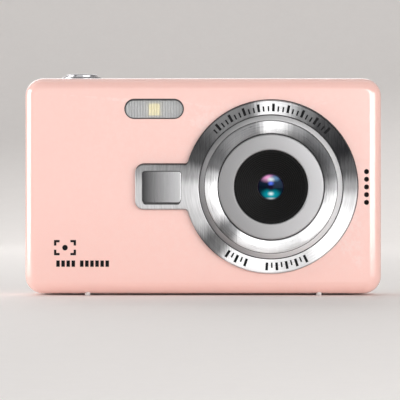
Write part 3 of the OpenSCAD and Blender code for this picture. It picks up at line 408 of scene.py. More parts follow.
def buildSpun():
    # broken concentric brush lines round an axis in depth; Size is their pitch in millimetres
    inputs = [("Centre", (0.0, 0.0, 0.0)), ("Size", 0.1)]
    tree, given, result = newGroup("spunLines", inputs, ["Height", "Mask"])
    flat, radius = roundAxis(tree, given.outputs["Centre"])
    heading = splitAxes(tree, addVector(tree, "NORMALIZE", flat, (0, 0, 0)))
    wrapped = tree.nodes.new("ShaderNodeCombineXYZ")
    tree.links.new(addMath(tree, "MULTIPLY", heading["X"], 2.2), wrapped.inputs["X"])
    tree.links.new(addMath(tree, "MULTIPLY", heading["Z"], 2.2), wrapped.inputs["Y"])
    tree.links.new(addMath(tree, "DIVIDE", radius, given.outputs["Size"]), wrapped.inputs["Z"])
    fine = addNoise(tree, wrapped.outputs[0], 1.0, 3.0, 0.7)
    tree.links.new(fine, result.inputs["Height"])
    tree.links.new(addRange(tree, fine, 0.34, 0.66), result.inputs["Mask"])
    return tree


# Painted reflection on the spin-brushed metal, in bright and dark fans: degrees from the right,
# counter-clockwise, and tone
paintedSheenFans = [(0, 0.22), (12, 0.05), (26, 0.0), (50, 0.02), (66, 0.12), (84, 0.56), (93, 0.68),
             (106, 0.12), (128, 0.13), (150, 0.04), (160, 0.06), (171, 0.38), (180, 0.78), (188, 0.82),
             (204, 0.62), (221, 0.10), (229, 0.14), (241, 0.78), (262, 0.84), (284, 0.62), (296, 0.56),
             (308, 0.78), (334, 0.82), (350, 0.50)]


def buildSheen():
    # painted reflection: fans of tone round the lens axis, as spin-brushed metal shows under lamps
    tree, given, result = newGroup("paintedSheenFans", [("Centre", (0.0, 0.0, 0.0)), ("Lift", 0.0)], ["Tone"])
    offset = offsetFrom(tree, given.outputs["Centre"])
    axes = splitAxes(tree, offset)
    angle = addMath(tree, "ARCTAN2", axes["Z"], axes["X"])
    blur = addNoise(tree, addVector(tree, "MULTIPLY", offset, (1.0, 1.0, 0.04)), 2600.0, 1.0)
    shaken = addMath(tree, "ADD", addMath(tree, "DIVIDE", angle, math.tau),
                     addMath(tree, "MULTIPLY", addMath(tree, "SUBTRACT", blur, 0.5), 0.022))
    turn = addMath(tree, "FRACT", addMath(tree, "ADD", shaken, 1.0))
    fans = paintedSheenFans + [(360, paintedSheenFans[0][1])]
    tone = addRamp(tree, turn, [(degrees / 360, (grey, grey, grey)) for degrees, grey in fans], "EASE")
    tree.links.new(addMath(tree, "ADD", tone, given.outputs["Lift"], True), result.inputs["Tone"])
    return tree


def buildWear():
    # worn or dusty outer edges; Reach widens the worn line
    tree, given, result = newGroup("edgeWear", [("Reach", 0.06), ("Size", 1.2)], ["Mask"])
    point = tree.nodes.new("ShaderNodeNewGeometry").outputs["Pointiness"]
    over = addMath(tree, "SUBTRACT", point, 0.5)
    edge = addMath(tree, "DIVIDE", over, given.outputs["Reach"], True)
    scale = addMath(tree, "DIVIDE", 1000.0, given.outputs["Size"])
    patch = addNoise(tree, objectPlace(tree), scale, 4.0, 0.65)
    tree.links.new(addMath(tree, "MULTIPLY", edge, addRange(tree, patch, 0.4, 0.62)), result.inputs["Mask"])
    return tree


def buildSmudge():
    # soft uneven handling marks, several millimetres across
    tree, given, result = newGroup("smudge", [("Size", 7.0)], ["Mask"])
    place = objectPlace(tree)
    scale = addMath(tree, "DIVIDE", 1000.0, given.outputs["Size"])
    wide = addNoise(tree, place, scale, 3.0, 0.5)
    small = addNoise(tree, place, addMath(tree, "MULTIPLY", scale, 4.3), 3.0, 0.6)
    both = mixTwo(tree, wide, 0.7, small, 0.3)
    tree.links.new(addRange(tree, both, 0.38, 0.66, smooth=True), result.inputs["Mask"])
    return tree


groups = {"grain": buildGrain(), "brush": buildBrush(), "turned": buildTurned(), "spun": buildSpun(),
          "sheen": buildSheen(), "wear": buildWear(), "smudge": buildSmudge()}
print("shaders: shared effects built")


def newMaterial(name, **values):
    # a Principled material with the constants set on the shader's own sockets
    material = bpy.data.materials.new(name)
    material.use_nodes = True
    shader = material.node_tree.nodes["Principled BSDF"]
    for label, value in values.items():
        socket = shader.inputs[label.replace("_", " ")]
        if isinstance(value, tuple) and len(value) == 3:
            value = (*value, 1.0)
        socket.default_value = value
    return material, material.node_tree, shader


def useGroup(tree, key, **values):
    node = tree.nodes.new("ShaderNodeGroup")
    node.node_tree = groups[key]
    for label, value in values.items():
        if isinstance(value, (int, float, tuple, Vector)):
            node.inputs[label].default_value = value
        else:
            tree.links.new(value, node.inputs[label])
    return node.outputs


def addBump(tree, shader, height, strength, depth):
    # depth is in millimetres
    bump = tree.nodes.new("ShaderNodeBump")
    bump.inputs["Strength"].default_value = strength
    bump.inputs["Distance"].default_value = depth * mm
    tree.links.new(height, bump.inputs["Height"])
    tree.links.new(bump.outputs["Normal"], shader.inputs["Normal"])
    return bump


def mixColour(tree, mask, one, two):
    mix = tree.nodes.new("ShaderNodeMix")
    mix.data_type = "RGBA"
    tree.links.new(mask, mix.inputs["Factor"])
    for socket, value in ((mix.inputs["A"], one), (mix.inputs["B"], two)):
        if isinstance(value, tuple):
            socket.default_value = (*value[:3], 1.0)
        else:
            tree.links.new(value, socket)
    return mix.outputs["Result"]


def paint(tree, shader, colour):
    tree.links.new(colour, shader.inputs["Base Color"])


def varyRoughness(tree, shader, mask, low, high):
    tree.links.new(addRange(tree, mask, 0.0, 1.0, low, high), shader.inputs["Roughness"])


def moulded(name, colour, rough, grainSize=0.25, depth=0.01, wornColour=None, **extra):
    # moulded plastic: grain in the bump, uneven gloss, paler worn edges
    material, tree, shader = newMaterial(name, Base_Color=colour, Roughness=rough, **extra)
    grain = useGroup(tree, "grain", Size=grainSize, Contrast=1.4)
    smudge = useGroup(tree, "smudge", Size=5.0)
    wear = useGroup(tree, "wear", Reach=0.08, Size=0.8)
    paler = wornColour or tuple(min(1.0, c * 1.35 + 0.015) for c in colour)
    darker = tuple(c * 0.88 for c in colour)
    toned = mixColour(tree, grain["Mask"], darker, colour)
    paint(tree, shader, mixColour(tree, wear["Mask"], toned, paler))
    varyRoughness(tree, shader, smudge["Mask"], rough * 0.85, min(1.0, rough * 1.2))
    addBump(tree, shader, grain["Height"], 0.5, depth)
    return material


def plainMetal(name, colour, rough, squeeze=(1.0, 1.0, 0.03), pitch=0.1, depth=0.006):
    # drawn or rolled metal with fine parallel lines
    material, tree, shader = newMaterial(name, Base_Color=colour, Metallic=1.0, Roughness=rough)
    brush = useGroup(tree, "brush", Size=pitch, Squeeze=squeeze)
    smudge = useGroup(tree, "smudge", Size=3.0)
    wear = useGroup(tree, "wear", Reach=0.08, Size=0.6)
    darker = tuple(c * 0.82 for c in colour)
    paler = tuple(min(1.0, c * 1.15) for c in colour)
    toned = mixColour(tree, brush["Mask"], darker, colour)
    paint(tree, shader, mixColour(tree, wear["Mask"], toned, paler))
    varyRoughness(tree, shader, smudge["Mask"], rough * 0.8, rough * 1.25)
    addBump(tree, shader, brush["Height"], 0.4, depth)
    return material


pearlPink = {"colour": (1.0, 0.610, 0.543), "deep": (0.995, 0.603, 0.536), "flake": (1.0, 0.65, 0.59),
             "worn": (1.0, 0.82, 0.78), "rough": 0.4, "coat": 1.0, "coatRough": 0.11, "coatIor": 1.9,
             "grainSize": 0.09}


def makePearlPink():
    # sprayed pearl paint under clear lacquer
    p = pearlPink
    material, tree, shader = newMaterial("pearlPink", Base_Color=p["colour"], Roughness=p["rough"],
                                         Coat_Weight=p["coat"], Coat_Roughness=p["coatRough"],
                                         Coat_IOR=p["coatIor"], Specular_IOR_Level=0.3)
    grain = useGroup(tree, "grain", Size=p["grainSize"], Contrast=1.6)
    cloud = useGroup(tree, "smudge", Size=16.0)
    wear = useGroup(tree, "wear", Reach=0.12, Size=1.4)
    base = mixColour(tree, cloud["Mask"], p["colour"], p["deep"])
    sparkle = addMath(tree, "MULTIPLY", grain["Mask"], 0.35)
    flaked = mixColour(tree, sparkle, base, p["flake"])
    rubbed = addMath(tree, "MULTIPLY", wear["Mask"], 0.3)
    paint(tree, shader, mixColour(tree, rubbed, flaked, p["worn"]))
    varyRoughness(tree, shader, cloud["Mask"], p["rough"] * 0.95, p["rough"] * 1.05)
    addBump(tree, shader, grain["Height"], 0.12, 0.006)
    return material


def makeSpinMetal(name, lift, low, high, rough, centre, leftShade=1.0):
    # spin-brushed metal: painted reflection in fans of tone, broken concentric lines and fine upright
    # scratches;
    # leftShade is painted shade that dims the part far left of the axis
    material, tree, shader = newMaterial(name, Metallic=1.0, Roughness=rough, Anisotropic=0.5)
    # painted reflection: fans of tone round the axis
    fans = useGroup(tree, "sheen", Centre=centre, Lift=lift)
    spun = useGroup(tree, "spun", Centre=centre, Size=0.3)
    brush = useGroup(tree, "brush", Size=0.07, Squeeze=(1.0, 1.0, 0.03))
    rings = addRange(tree, spun["Mask"], 0.0, 1.0, 0.84, 1.12)
    scratches = addRange(tree, brush["Mask"], 0.0, 1.0, -0.012, 0.018)
    across = splitAxes(tree, objectPlace(tree))["X"]
    # painted shade: darker far left of the axis
    shade = addRange(tree, across, centre[0] - 24 * mm, centre[0] - 12 * mm, leftShade, smooth=True)
    fanned = addMath(tree, "MULTIPLY", addMath(tree, "MULTIPLY", fans["Tone"], rings), shade)
    tone = addMath(tree, "ADD", fanned, scratches, True)
    paint(tree, shader, mixColour(tree, tone, low, high))
    varyRoughness(tree, shader, spun["Mask"], rough * 0.9, rough * 1.12)
    addBump(tree, shader, spun["Height"], 0.15, 0.006)
    return material


def makeSatinRing(name, colour, leftShadeTone, metal, rough, centre, reach, spread=1.0):
    # bead-blasted ring: evenly lit, with painted shade that darkens it towards its left, and faint turning
    # marks
    material, tree, shader = newMaterial(name, Metallic=metal, Roughness=rough, Specular_IOR_Level=0.3)
    turned = useGroup(tree, "turned", Centre=centre, Pitch=0.12)
    grain = useGroup(tree, "grain", Size=0.07, Contrast=1.5)
    axes = splitAxes(tree, objectPlace(tree))
    # painted shade: darker at the left, the ring's own colour at the right
    across = addRange(tree, axes["X"], centre[0] - reach, centre[0] + reach * spread, smooth=True)
    toned = mixColour(tree, across, leftShadeTone, colour)
    speck = addMath(tree, "MULTIPLY", grain["Mask"], 0.05)
    paint(tree, shader, mixColour(tree, speck, toned, (0.95, 0.95, 0.96)))
    varyRoughness(tree, shader, grain["Mask"], rough * 0.9, rough * 1.15)
    addBump(tree, shader, turned["Height"], 0.06, 0.006)
    return material


def makeRidgedBlack(centre):
    # dead black with fine turned ridges
    material, tree, shader = newMaterial("ridgedBlack", Base_Color=(0.004, 0.004, 0.004), Roughness=0.55,
                                         Specular_IOR_Level=0.12)
    turned = useGroup(tree, "turned", Centre=centre, Pitch=0.32)
    grain = useGroup(tree, "grain", Size=0.06, Contrast=1.2)
    paint(tree, shader, mixColour(tree, turned["Height"], (0.003, 0.003, 0.003), (0.008, 0.008, 0.008)))
    varyRoughness(tree, shader, grain["Mask"], 0.42, 0.6)
    addBump(tree, shader, turned["Height"], 0.35, 0.02)
    return material


# Painted reflections and glints inside the coated element: place, half width and half height in radii, and
# tint
glassGlints = [((0.0, -0.58), (0.80, 0.50), (0.0, 0.50, 0.60)),
               ((-0.28, 0.72), (0.62, 0.42), (1.0, 0.44, 0.78)),
               ((0.34, 0.66), (0.44, 0.30), (0.14, 0.30, 0.52)),
               ((0.0, 0.55), (0.34, 0.24), (0.85, 1.0, 1.0)),
               ((0.0, 0.27), (0.26, 0.22), (0.10, 0.20, 1.0)),
               ((0.0, -0.50), (0.27, 0.19), (0.85, 1.0, 1.0)),
               ((0.0, -0.88), (0.50, 0.13), (0.9, 1.0, 1.0))]


# Painted reflection tints of the coating from its bottom to its top
paintedCoatingTints = [(0.0, (0.01, 0.01, 0.07)), (0.25, (0.0, 0.03, 0.05)), (0.5, (0.0, 0.004, 0.010)),
              (0.75, (0.004, 0.018, 0.045)), (1.0, (0.20, 0.11, 0.30))]


def makeCoatedGlass(centre, reach):
    # a coated element with its light painted in: painted reflections in violet over teal, painted glints on
    # the middle line, and painted shade in a dark pupil and a dark rim
    material, tree, shader = newMaterial("coatedGlass", Roughness=0.05, Specular_IOR_Level=0.1,
                                         Specular_Tint=(0.45, 0.62, 1.0))
    offset = addVector(tree, "MULTIPLY", offsetFrom(tree, centre), (1 / reach, 0.0, 1 / reach))
    height = splitAxes(tree, offset)["Z"]
    # painted reflection: the coating's tints from bottom to top
    tinted = addRamp(tree, addRange(tree, height, -1.0, 1.0), paintedCoatingTints)
    # painted glints and reflections laid over the tints
    for (x, z), (wide, tall), tint in glassGlints:
        away = addVector(tree, "MULTIPLY", addVector(tree, "SUBTRACT", offset, (x, 0.0, z)),
                         (1 / wide, 0.0, 1 / tall))
        near = addRange(tree, addVector(tree, "LENGTH", away, (0, 0, 0)), 0.0, 1.15, 1.0, 0.0, smooth=True)
        tinted = mixColour(tree, near, tinted, tint)
    # painted shade: a dark pupil in the middle and a dark rim round the edge
    radius = addVector(tree, "LENGTH", offset, (0, 0, 0))
    pupil = addRange(tree, radius, 0.06, 0.40, 1.0, 0.0, smooth=True)
    below = addRange(tree, height, 0.06, 0.16, 1.0, 0.0, smooth=True)
    rim = addRange(tree, radius, 0.80, 1.0, smooth=True)
    dark = addMath(tree, "MAXIMUM", addMath(tree, "MULTIPLY", pupil, below), rim)
    swirl = useGroup(tree, "grain", Size=1.5, Contrast=1.0)
    clouded = mixColour(tree, addMath(tree, "MULTIPLY", swirl["Mask"], 0.18), tinted, (0.0, 0.012, 0.03))
    paint(tree, shader, mixColour(tree, dark, clouded, (0.010, 0.002, 0.014)))
    varyRoughness(tree, shader, swirl["Mask"], 0.03, 0.08)
    return material


def makeClearGlass(name, tint, rough, ior=1.5):
    # tinted clear glass with faint handling marks
    material, tree, shader = newMaterial(name, Base_Color=tint, Transmission_Weight=1.0, IOR=ior)
    smudge = useGroup(tree, "smudge", Size=2.0)
    varyRoughness(tree, shader, smudge["Mask"], rough, rough * 1.8 + 0.01)
    return material


def makeFlashClear(middle, pitch):
    # thin clear moulding, a little milky, with upright ribs across it and painted shade in each groove
    material, tree, shader = newMaterial("flashClear", Roughness=0.22, IOR=1.49, Alpha=0.45)
    across = addMath(tree, "SUBTRACT", splitAxes(tree, objectPlace(tree))["X"], middle)
    turns = addMath(tree, "MULTIPLY", across, math.tau / (pitch * mm))
    wave = addMath(tree, "ADD", addMath(tree, "MULTIPLY", addMath(tree, "COSINE", turns), 0.5), 0.5)
    # painted shade: darker along each groove
    grooveShade = addMath(tree, "POWER", wave, 3.0)
    grain = useGroup(tree, "grain", Size=0.3, Contrast=1.0)
    smudge = useGroup(tree, "smudge", Size=2.0)
    milky = mixColour(tree, grain["Mask"], (0.78, 0.80, 0.81), (0.86, 0.88, 0.89))
    paint(tree, shader, mixColour(tree, grooveShade, milky, (0.54, 0.55, 0.56)))
    tree.links.new(addRange(tree, grooveShade, 0.0, 1.0, 0.40, 0.5), shader.inputs["Alpha"])
    varyRoughness(tree, shader, smudge["Mask"], 0.16, 0.28)
    addBump(tree, shader, wave, 0.5, 0.1)
    return material


def makeMirrorPlate(low, high):
    # polished plate with a painted reflection: dark towards its left, bright towards its right
    material, tree, shader = newMaterial("mirrorPlate", Metallic=1.0, Roughness=0.16)
    across = addRange(tree, splitAxes(tree, objectPlace(tree))["X"], low.x, high.x)
    brush = useGroup(tree, "brush", Size=0.1, Squeeze=(1.0, 1.0, 0.02))
    # painted reflection across the plate, with faint brush lines
    reflectionAndBrush = addMath(tree, "ADD", across, addRange(tree, brush["Mask"], 0.0, 1.0, -0.02, 0.02), True)
    paint(tree, shader, mixColour(tree, reflectionAndBrush, (0.05, 0.05, 0.052), (0.62, 0.62, 0.63)))
    varyRoughness(tree, shader, brush["Mask"], 0.12, 0.2)
    return material


displaySize = {"halfWidth": 24.5, "halfHeight": 18.6, "blur": 0.05}


def makeDisplayGlass(middle):
    # smoked window: a printed black border round the slightly lighter display area
    d = displaySize
    material, tree, shader = newMaterial("displayGlass", Roughness=0.08, Coat_Weight=1.0,
                                         Coat_Roughness=0.02)
    axes = splitAxes(tree, offsetFrom(tree, middle))
    masks = []
    for axis, reach in (("X", d["halfWidth"]), ("Z", d["halfHeight"])):
        away = addMath(tree, "ABSOLUTE", axes[axis])
        masks.append(addRange(tree, away, (reach - d["blur"]) * mm, (reach + d["blur"]) * mm, 1.0, 0.0))
    area = addMath(tree, "MULTIPLY", masks[0], masks[1])
    smudge = useGroup(tree, "smudge", Size=9.0)
    paint(tree, shader, mixColour(tree, area, (0.004, 0.004, 0.005), (0.018, 0.021, 0.027)))
    varyRoughness(tree, shader, smudge["Mask"], 0.05, 0.16)
    return material


def makeChrome():
    # bright plating with a trace of haze
    material, tree, shader = newMaterial("buttonChrome", Metallic=1.0, Roughness=0.24)
    smudge = useGroup(tree, "smudge", Size=2.5)
    wear = useGroup(tree, "wear", Reach=0.1, Size=0.8)
    toned = mixColour(tree, smudge["Mask"], (0.58, 0.58, 0.60), (0.64, 0.64, 0.66))
    paint(tree, shader, mixColour(tree, wear["Mask"], toned, (0.76, 0.76, 0.78)))
    varyRoughness(tree, shader, smudge["Mask"], 0.2, 0.27)
    return material


def makeBoard():
    # solder mask with faint copper tracks under it
    material, tree, shader = newMaterial("boardGreen", Roughness=0.35, Coat_Weight=0.3)
    brick = tree.nodes.new("ShaderNodeTexBrick")
    brick.inputs["Scale"].default_value = 420.0
    brick.inputs["Mortar Size"].default_value = 0.012
    tree.links.new(objectPlace(tree), brick.inputs["Vector"])
    grain = useGroup(tree, "grain", Size=0.4, Contrast=1.2)
    tracks = mixColour(tree, brick.outputs["Fac"], (0.012, 0.10, 0.045), (0.05, 0.22, 0.09))
    paint(tree, shader, mixColour(tree, grain["Mask"], tracks, (0.01, 0.08, 0.035)))
    varyRoughness(tree, shader, grain["Mask"], 0.28, 0.45)
    addBump(tree, shader, brick.outputs["Fac"], 0.3, 0.01)
    return material


def makePhosphor():
    # yellow phosphor with a painted glow: it gives off light though it is no lamp
    material, tree, shader = newMaterial("phosphor", Base_Color=(0.85, 0.72, 0.28), Roughness=0.5,
                                         Emission_Strength=1.1)
    grain = useGroup(tree, "grain", Size=0.12, Contrast=1.5)
    tone = mixColour(tree, grain["Mask"], (0.85, 0.68, 0.16), (0.95, 0.82, 0.30))
    paint(tree, shader, tone)
    # painted glow: the emission follows the colour
    tree.links.new(tone, shader.inputs["Emission Color"])
    addBump(tree, shader, grain["Height"], 0.4, 0.02)
    return material


lensCentre = (lensMid.x, faceY, lensMid.z)
finish = {
    "pink_shell": makePearlPink(),
    "frame_black": moulded("frameBlack", (0.03, 0.03, 0.032), 0.55, 0.3),
    "brushed_trim": makeSpinMetal("spinBezel", 0.0, (0.010, 0.010, 0.011), (0.95, 0.95, 0.96), 0.34,
                                  lensCentre, 0.62),
    "step_grey": makeSatinRing("stepGrey", (0.86, 0.86, 0.87), (0.25, 0.25, 0.255), 0.35, 0.55,
                               lensCentre, 18 * mm, 0.5),
    "satin_ring": makeSatinRing("satinNose", (0.52, 0.52, 0.53), (0.29, 0.29, 0.295), 0.7, 0.5,
                                lensCentre, 14 * mm),
    "baffle_black": makeRidgedBlack(lensCentre),
    "lens_glass": makeCoatedGlass(lensMid, 3.62 * mm),  # the glass and a hair of its seat
    "foam_seal": moulded("foamSeal", (0.03, 0.03, 0.03), 0.9, 0.4, 0.06),
    "filter_glass": makeClearGlass("filterGlass", (0.55, 0.85, 0.9, 1.0), 0.02),
    "sensor_silicon": moulded("sensorSilicon", (0.04, 0.05, 0.09), 0.2, 0.1, 0.002),
    "board_green": makeBoard(),
    "flex_amber": moulded("flexAmber", (0.42, 0.20, 0.035), 0.35, 0.5, 0.01),
    "mirror_plate": makeMirrorPlate(lowOf("front_mirror"), highOf("front_mirror")),
    "flash_clear": makeFlashClear(middleOf("flash_window").x, 0.75),
    "reflector_white": moulded("reflectorWhite", (0.80, 0.81, 0.82), 0.4, 0.4, 0.01),
    "led_yellow": makePhosphor(),
    "button_chrome": makeChrome(),
    "button_silver": plainMetal("buttonSilver", (0.66, 0.66, 0.68), 0.32, (0.02, 1.0, 1.0), 0.05, 0.002),
    "steel_pin": plainMetal("steelPin", (0.58, 0.58, 0.60), 0.28),
    "light_lens": moulded("lightLens", (0.30, 0.62, 0.34), 0.25, 0.3, 0.004),
    "display_black": makeDisplayGlass(middleOf("lcd_window")),
    "display_panel": moulded("displayPanel", (0.02, 0.022, 0.03), 0.2, 0.4, 0.002),
    "sheet_steel": plainMetal("sheetSteel", (0.60, 0.60, 0.62), 0.3, (0.03, 1.0, 1.0)),
    "chip_black": moulded("chipBlack", (0.02, 0.02, 0.021), 0.6, 0.15, 0.02),
    "switch_metal": plainMetal("switchMetal", (0.55, 0.55, 0.57), 0.32),
    "card_black": moulded("cardBlack", (0.022, 0.022, 0.024), 0.5, 0.12, 0.012),
    "battery_wrap": moulded("batteryWrap", (0.07, 0.085, 0.12), 0.3, 0.8, 0.01, Coat_Weight=0.4),
    "gold_contact": plainMetal("goldContact", (0.86, 0.62, 0.24), 0.22),
    "tripod_brass": plainMetal("tripodBrass", (0.72, 0.54, 0.26), 0.26, (1.0, 1.0, 0.05)),
    "screw_steel": plainMetal("screwSteel", (0.42, 0.42, 0.44), 0.3, (1.0, 1.0, 1.0), 0.15),
    "foot_rubber": moulded("footPlastic", (0.62, 0.61, 0.60), 0.5, 0.2, 0.02),
}
spinTrim = makeSpinMetal("spinTrim", 0.02, (0.03, 0.03, 0.032), (0.98, 0.98, 0.99), 0.3, lensCentre)
collarChrome = plainMetal("collarChrome", (0.66, 0.66, 0.68), 0.26, (1.0, 1.0, 1.0), 0.2, 0.001)
ink = moulded("ink", (0.004, 0.004, 0.005), 0.6, 0.1, 0.004, (0.006, 0.006, 0.007), Specular_IOR_Level=0.15)
cloth = moulded("soundCloth", (0.006, 0.006, 0.006), 0.95, 0.12, 0.05)
print("materials:", len(bpy.data.materials))

# every node starts with the finish of its slot
for part in frame["record"]["subparts"]:
    node = frame["nodes"][part["node"]]
    if not node.material_slots:
        node.data.materials.append(None)
    for holder in node.material_slots:
        holder.link = "OBJECT"
        holder.material = finish[part["material_slot"]]


def fitBody(piece, slot, *nodes):
    return fit(piece, finish[slot], "body", slot, *nodes)


# case: radius in mm that breaks each piece's sharp edges
softEdges = {"front_cover": 0.12, "rear_cover": 0.12, "battery_door": 0.12, "usb_socket": 0.05,
             "card_socket": 0.05, "memory_card": 0.12, "case_screws": 0.06, "key_up": 0.12,
             "key_down": 0.12, "key_left": 0.12, "key_right": 0.12, "zoom_rocker": 0.28,
             "lcd_window": 0.12, "front_mirror": 0.14, "flash_reflector": 0.08, "flash_led": 0.12,
             "battery": 0.5, "battery_contacts": 0.05, "door_hinge_pin": 0.08, "strap_post": 0.05,
             "mid_frame": 0.08}
for node, edge in softEdges.items():
    piece = softCopy(node, "soft." + node, edge, segments=3 if edge > 0.2 else 2)
    fit(piece, finish[slotOf(node)], bodyOf(node), slotOf(node), node)
print("case: edges softened on", len(softEdges), "pieces")

# lens trim
bezelSize = {"radius": 23.3, "rise": 1.5, "seat": 19.4, "floor": 0.5, "bore": 18.0, "edge": 0.32,
             "tabHeight": 12.2, "tabCorner": 2.3, "fillet": 1.0, "innerEdge": 0.16, "mirrorGap": 0.3,
             "pocketCorner": 0.85}
bezelReach = (lensBase.x - lowOf("lens_bezel").x) / mm  # from the lens axis to the tab's end
mirrorSize = (highOf("front_mirror") - lowOf("front_mirror")) / mm
mirrorBase = Vector((middleOf("front_mirror").x, faceY, lensBase.z))


def bezelOutline():
    # a circle with a square tab at its left, counter-clockwise, in mm round the lens axis
    s = bezelSize
    half = s["tabHeight"] / 2
    corner = s["tabCorner"]
    meet = math.degrees(math.asin((half + s["fillet"] * 0.5) / s["radius"]))
    points = []
    for i in range(181):
        a = math.radians(-180 + meet + (360 - 2 * meet) * i / 180)
        points.append((s["radius"] * math.cos(a), s["radius"] * math.sin(a)))
    root = -math.sqrt(s["radius"] ** 2 - half ** 2)
    start, end = root - s["fillet"] * 0.35, root - s["fillet"] * 1.3
    points += [(start, half), (end, half)]
    for sign, turn in ((1, range(9)), (-1, range(8, -1, -1))):
        for k in turn:
            a = math.radians(90 + 90 * k / 8)
            points.append((corner - bezelReach + corner * math.cos(a),
                           sign * (half - corner + corner * math.sin(a))))
    return points + [(end, -half), (start, -half)]


def makeBezel():
    s = bezelSize
    e = s["edge"]
    rounding = [(e * (1 - math.cos(math.radians(a))), s["rise"] - e + e * math.sin(math.radians(a)))
                for a in (0, 22, 45, 68, 90)]
    plate = loft("lensBezel", bezelOutline(), [(0, 0)] + rounding, lensBase)
    i = s["innerEdge"]
    hole = [(0.0, -1.0), (s["bore"], -1.0), (s["bore"], s["floor"]), (s["seat"], s["floor"]),
            (s["seat"], s["rise"] - i), (s["seat"] + i * 0.3, s["rise"] - i * 0.3),
            (s["seat"] + i, s["rise"]), (s["seat"] + i, 3.0), (0.0, 3.0)]
    carve(plate, lathe("seat", hole, lensBase, toFront, closed=False, steps=180))
    pocket = roundedBox(mirrorSize.x + s["mirrorGap"], mirrorSize.z + s["mirrorGap"], s["pocketCorner"])
    carve(plate, loft("mirrorPocket", pocket, [(0, s["floor"]), (0, 3.0)], mirrorBase))
    plate.data.shade_smooth()
    plate.data.set_sharp_from_angle(angle=math.radians(32))
    return keepFlats(plate)


fitBody(makeBezel(), "brushed_trim", "lens_bezel")

# turned rings: profile of (radius, height) in mm from the front face, edge radius, steps of each edge
ringSizes = {
    "stepRing": {"profile": [(16.4, 0.5), (19.2, 0.5), (19.2, 1.5), (18.0, 3.05), (17.9, 3.05), (17.9, 1.6),
                             (16.4, 1.6)],
                 "edge": 0.14, "steps": 4, "metal": finish["step_grey"], "node": "bezel_step_ring"},
    "trimRing": {"profile": [(14.35, 0.0), (16.35, 0.0), (16.35, 1.6), (17.78, 1.6), (17.78, 3.3),
                             (14.35, 3.3)],
                 "edge": 0.16, "steps": 4, "metal": spinTrim, "node": "lens_trim_ring"},
    "noseRing": {"profile": [(10.4, 0.0), (14.1, 0.0), (14.1, 3.9), (9.9, 3.9), (9.9, 2.7), (10.4, 2.7)],
                 "edge": 0.4, "steps": 6, "metal": finish["satin_ring"], "node": "lens_nose_ring"},
}
for name, ring in ringSizes.items():
    profile = roundCorners(ring["profile"], ring["edge"], steps=ring["steps"])
    fit(lathe(name, profile, lensBase, toFront), ring["metal"], "body", slotOf(ring["node"]), ring["node"])

# painted shade: black rings in the gaps between the rings, where shade falls; inner and outer radius, low
# and high, in mm
gapShadeRings = {"outer": (19.12, 19.5, 0.52, 1.25), "middle": (17.74, 17.96, 1.7, 2.98),
             "inner": (14.02, 14.42, 0.5, 3.0)}
for name, (inner, outer, low, high) in gapShadeRings.items():
    profile = [(inner, low), (outer, low), (outer, high), (inner, high)]
    fitBody(lathe("gapShadeRing." + name, profile, lensBase, toFront), "frame_black")

sealAndShadowSize = {"proud": 0.1, "rise": 0.22, "shift": (0.15, 0.17), "mirrorDrop": 0.5, "mirrorInset": 0.4,
              "mirrorProud": 0.12, "mirrorCorner": 0.7, "mirrorRise": 0.02}


def makeSealAndShadowLine():
    # thin black pieces: one under the bezel, shifted up and right to show as a painted shadow line, and a
    # seal round the mirror plate
    s = sealAndShadowSize
    # the shift puts the painted shadow line at the top and right of the bezel
    base = lensBase + toRight * s["shift"][0] * mm + toTop * s["shift"][1] * mm
    under = loft("bezelShadowLine", bezelOutline(), [(-s["proud"], -0.02), (-s["proud"], s["rise"])], base)
    fit(under, finish["frame_black"], "body", "brushed_trim")
    shape = roundedBox(mirrorSize.x - s["mirrorInset"],
                       mirrorSize.z + s["mirrorDrop"] + s["mirrorProud"], s["mirrorCorner"])
    seal = loft("mirrorSeal", shape, [(0, 0.55), (0, bezelSize["rise"] + s["mirrorRise"])],
                mirrorBase - toTop * s["mirrorDrop"] / 2 * mm)
    fitBody(seal, "frame_black")


makeSealAndShadowLine()

baffleSize = {"rim": 9.84, "rimRise": 3.2, "lip": 0.55, "flange": 10.3, "flangeRise": 2.65, "bore": 3.68,
              "low": 0.9, "ridges": 11, "ridgeDepth": 0.16}


def makeBaffle():
    # a shallow cone with sharp concentric ridges that swallow stray light
    s = baffleSize
    profile = [(s["bore"], 0.0), (s["flange"], 0.0), (s["flange"], s["flangeRise"]),
               (s["rim"], s["flangeRise"]), (s["rim"], s["rimRise"]), (s["rim"] - s["lip"], s["rimRise"])]
    start, end = s["rim"] - s["lip"] - 0.05, s["bore"] + 0.2
    for i in range(s["ridges"]):
        for t, dip in ((i, 0.0), (i + 0.12, s["ridgeDepth"]), (i + 0.9, s["ridgeDepth"] * 0.4)):
            share = t / s["ridges"]
            height = s["rimRise"] + (s["low"] - s["rimRise"]) * share - dip
            profile.append((start + (end - start) * share, height))
    profile.append((s["bore"], s["low"] - 0.1))
    return lathe("lensBaffle", profile, lensBase, toFront)


fitBody(makeBaffle(), "baffle_black", "lens_baffle")

glassSize = {"radius": 3.6, "low": 0.2, "rise": 0.65, "back": -1.3, "steps": 18,
             "rim": [(3.58, 0.2), (3.76, 0.2), (3.76, 0.55), (3.62, 0.55)], "rimEdge": 0.05}


def makeFrontGlass():
    s = glassSize
    profile = [(0.0, s["back"]), (s["radius"], s["back"])]
    for i in range(s["steps"] + 1):
        t = i / s["steps"]
        profile.append((s["radius"] * (1 - t), s["low"] + s["rise"] * (1 - (1 - t) ** 2)))
    return lathe("frontGlass", profile, lensBase, toFront, closed=False, steps=96)


fitBody(makeFrontGlass(), "lens_glass", "front_glass")
glassRim = roundCorners(glassSize["rim"], glassSize["rimEdge"])
fitBody(lathe("glassRim", glassRim, lensBase, toFront, steps=96), "baffle_black")
print("lens: trim, baffle and glass made")

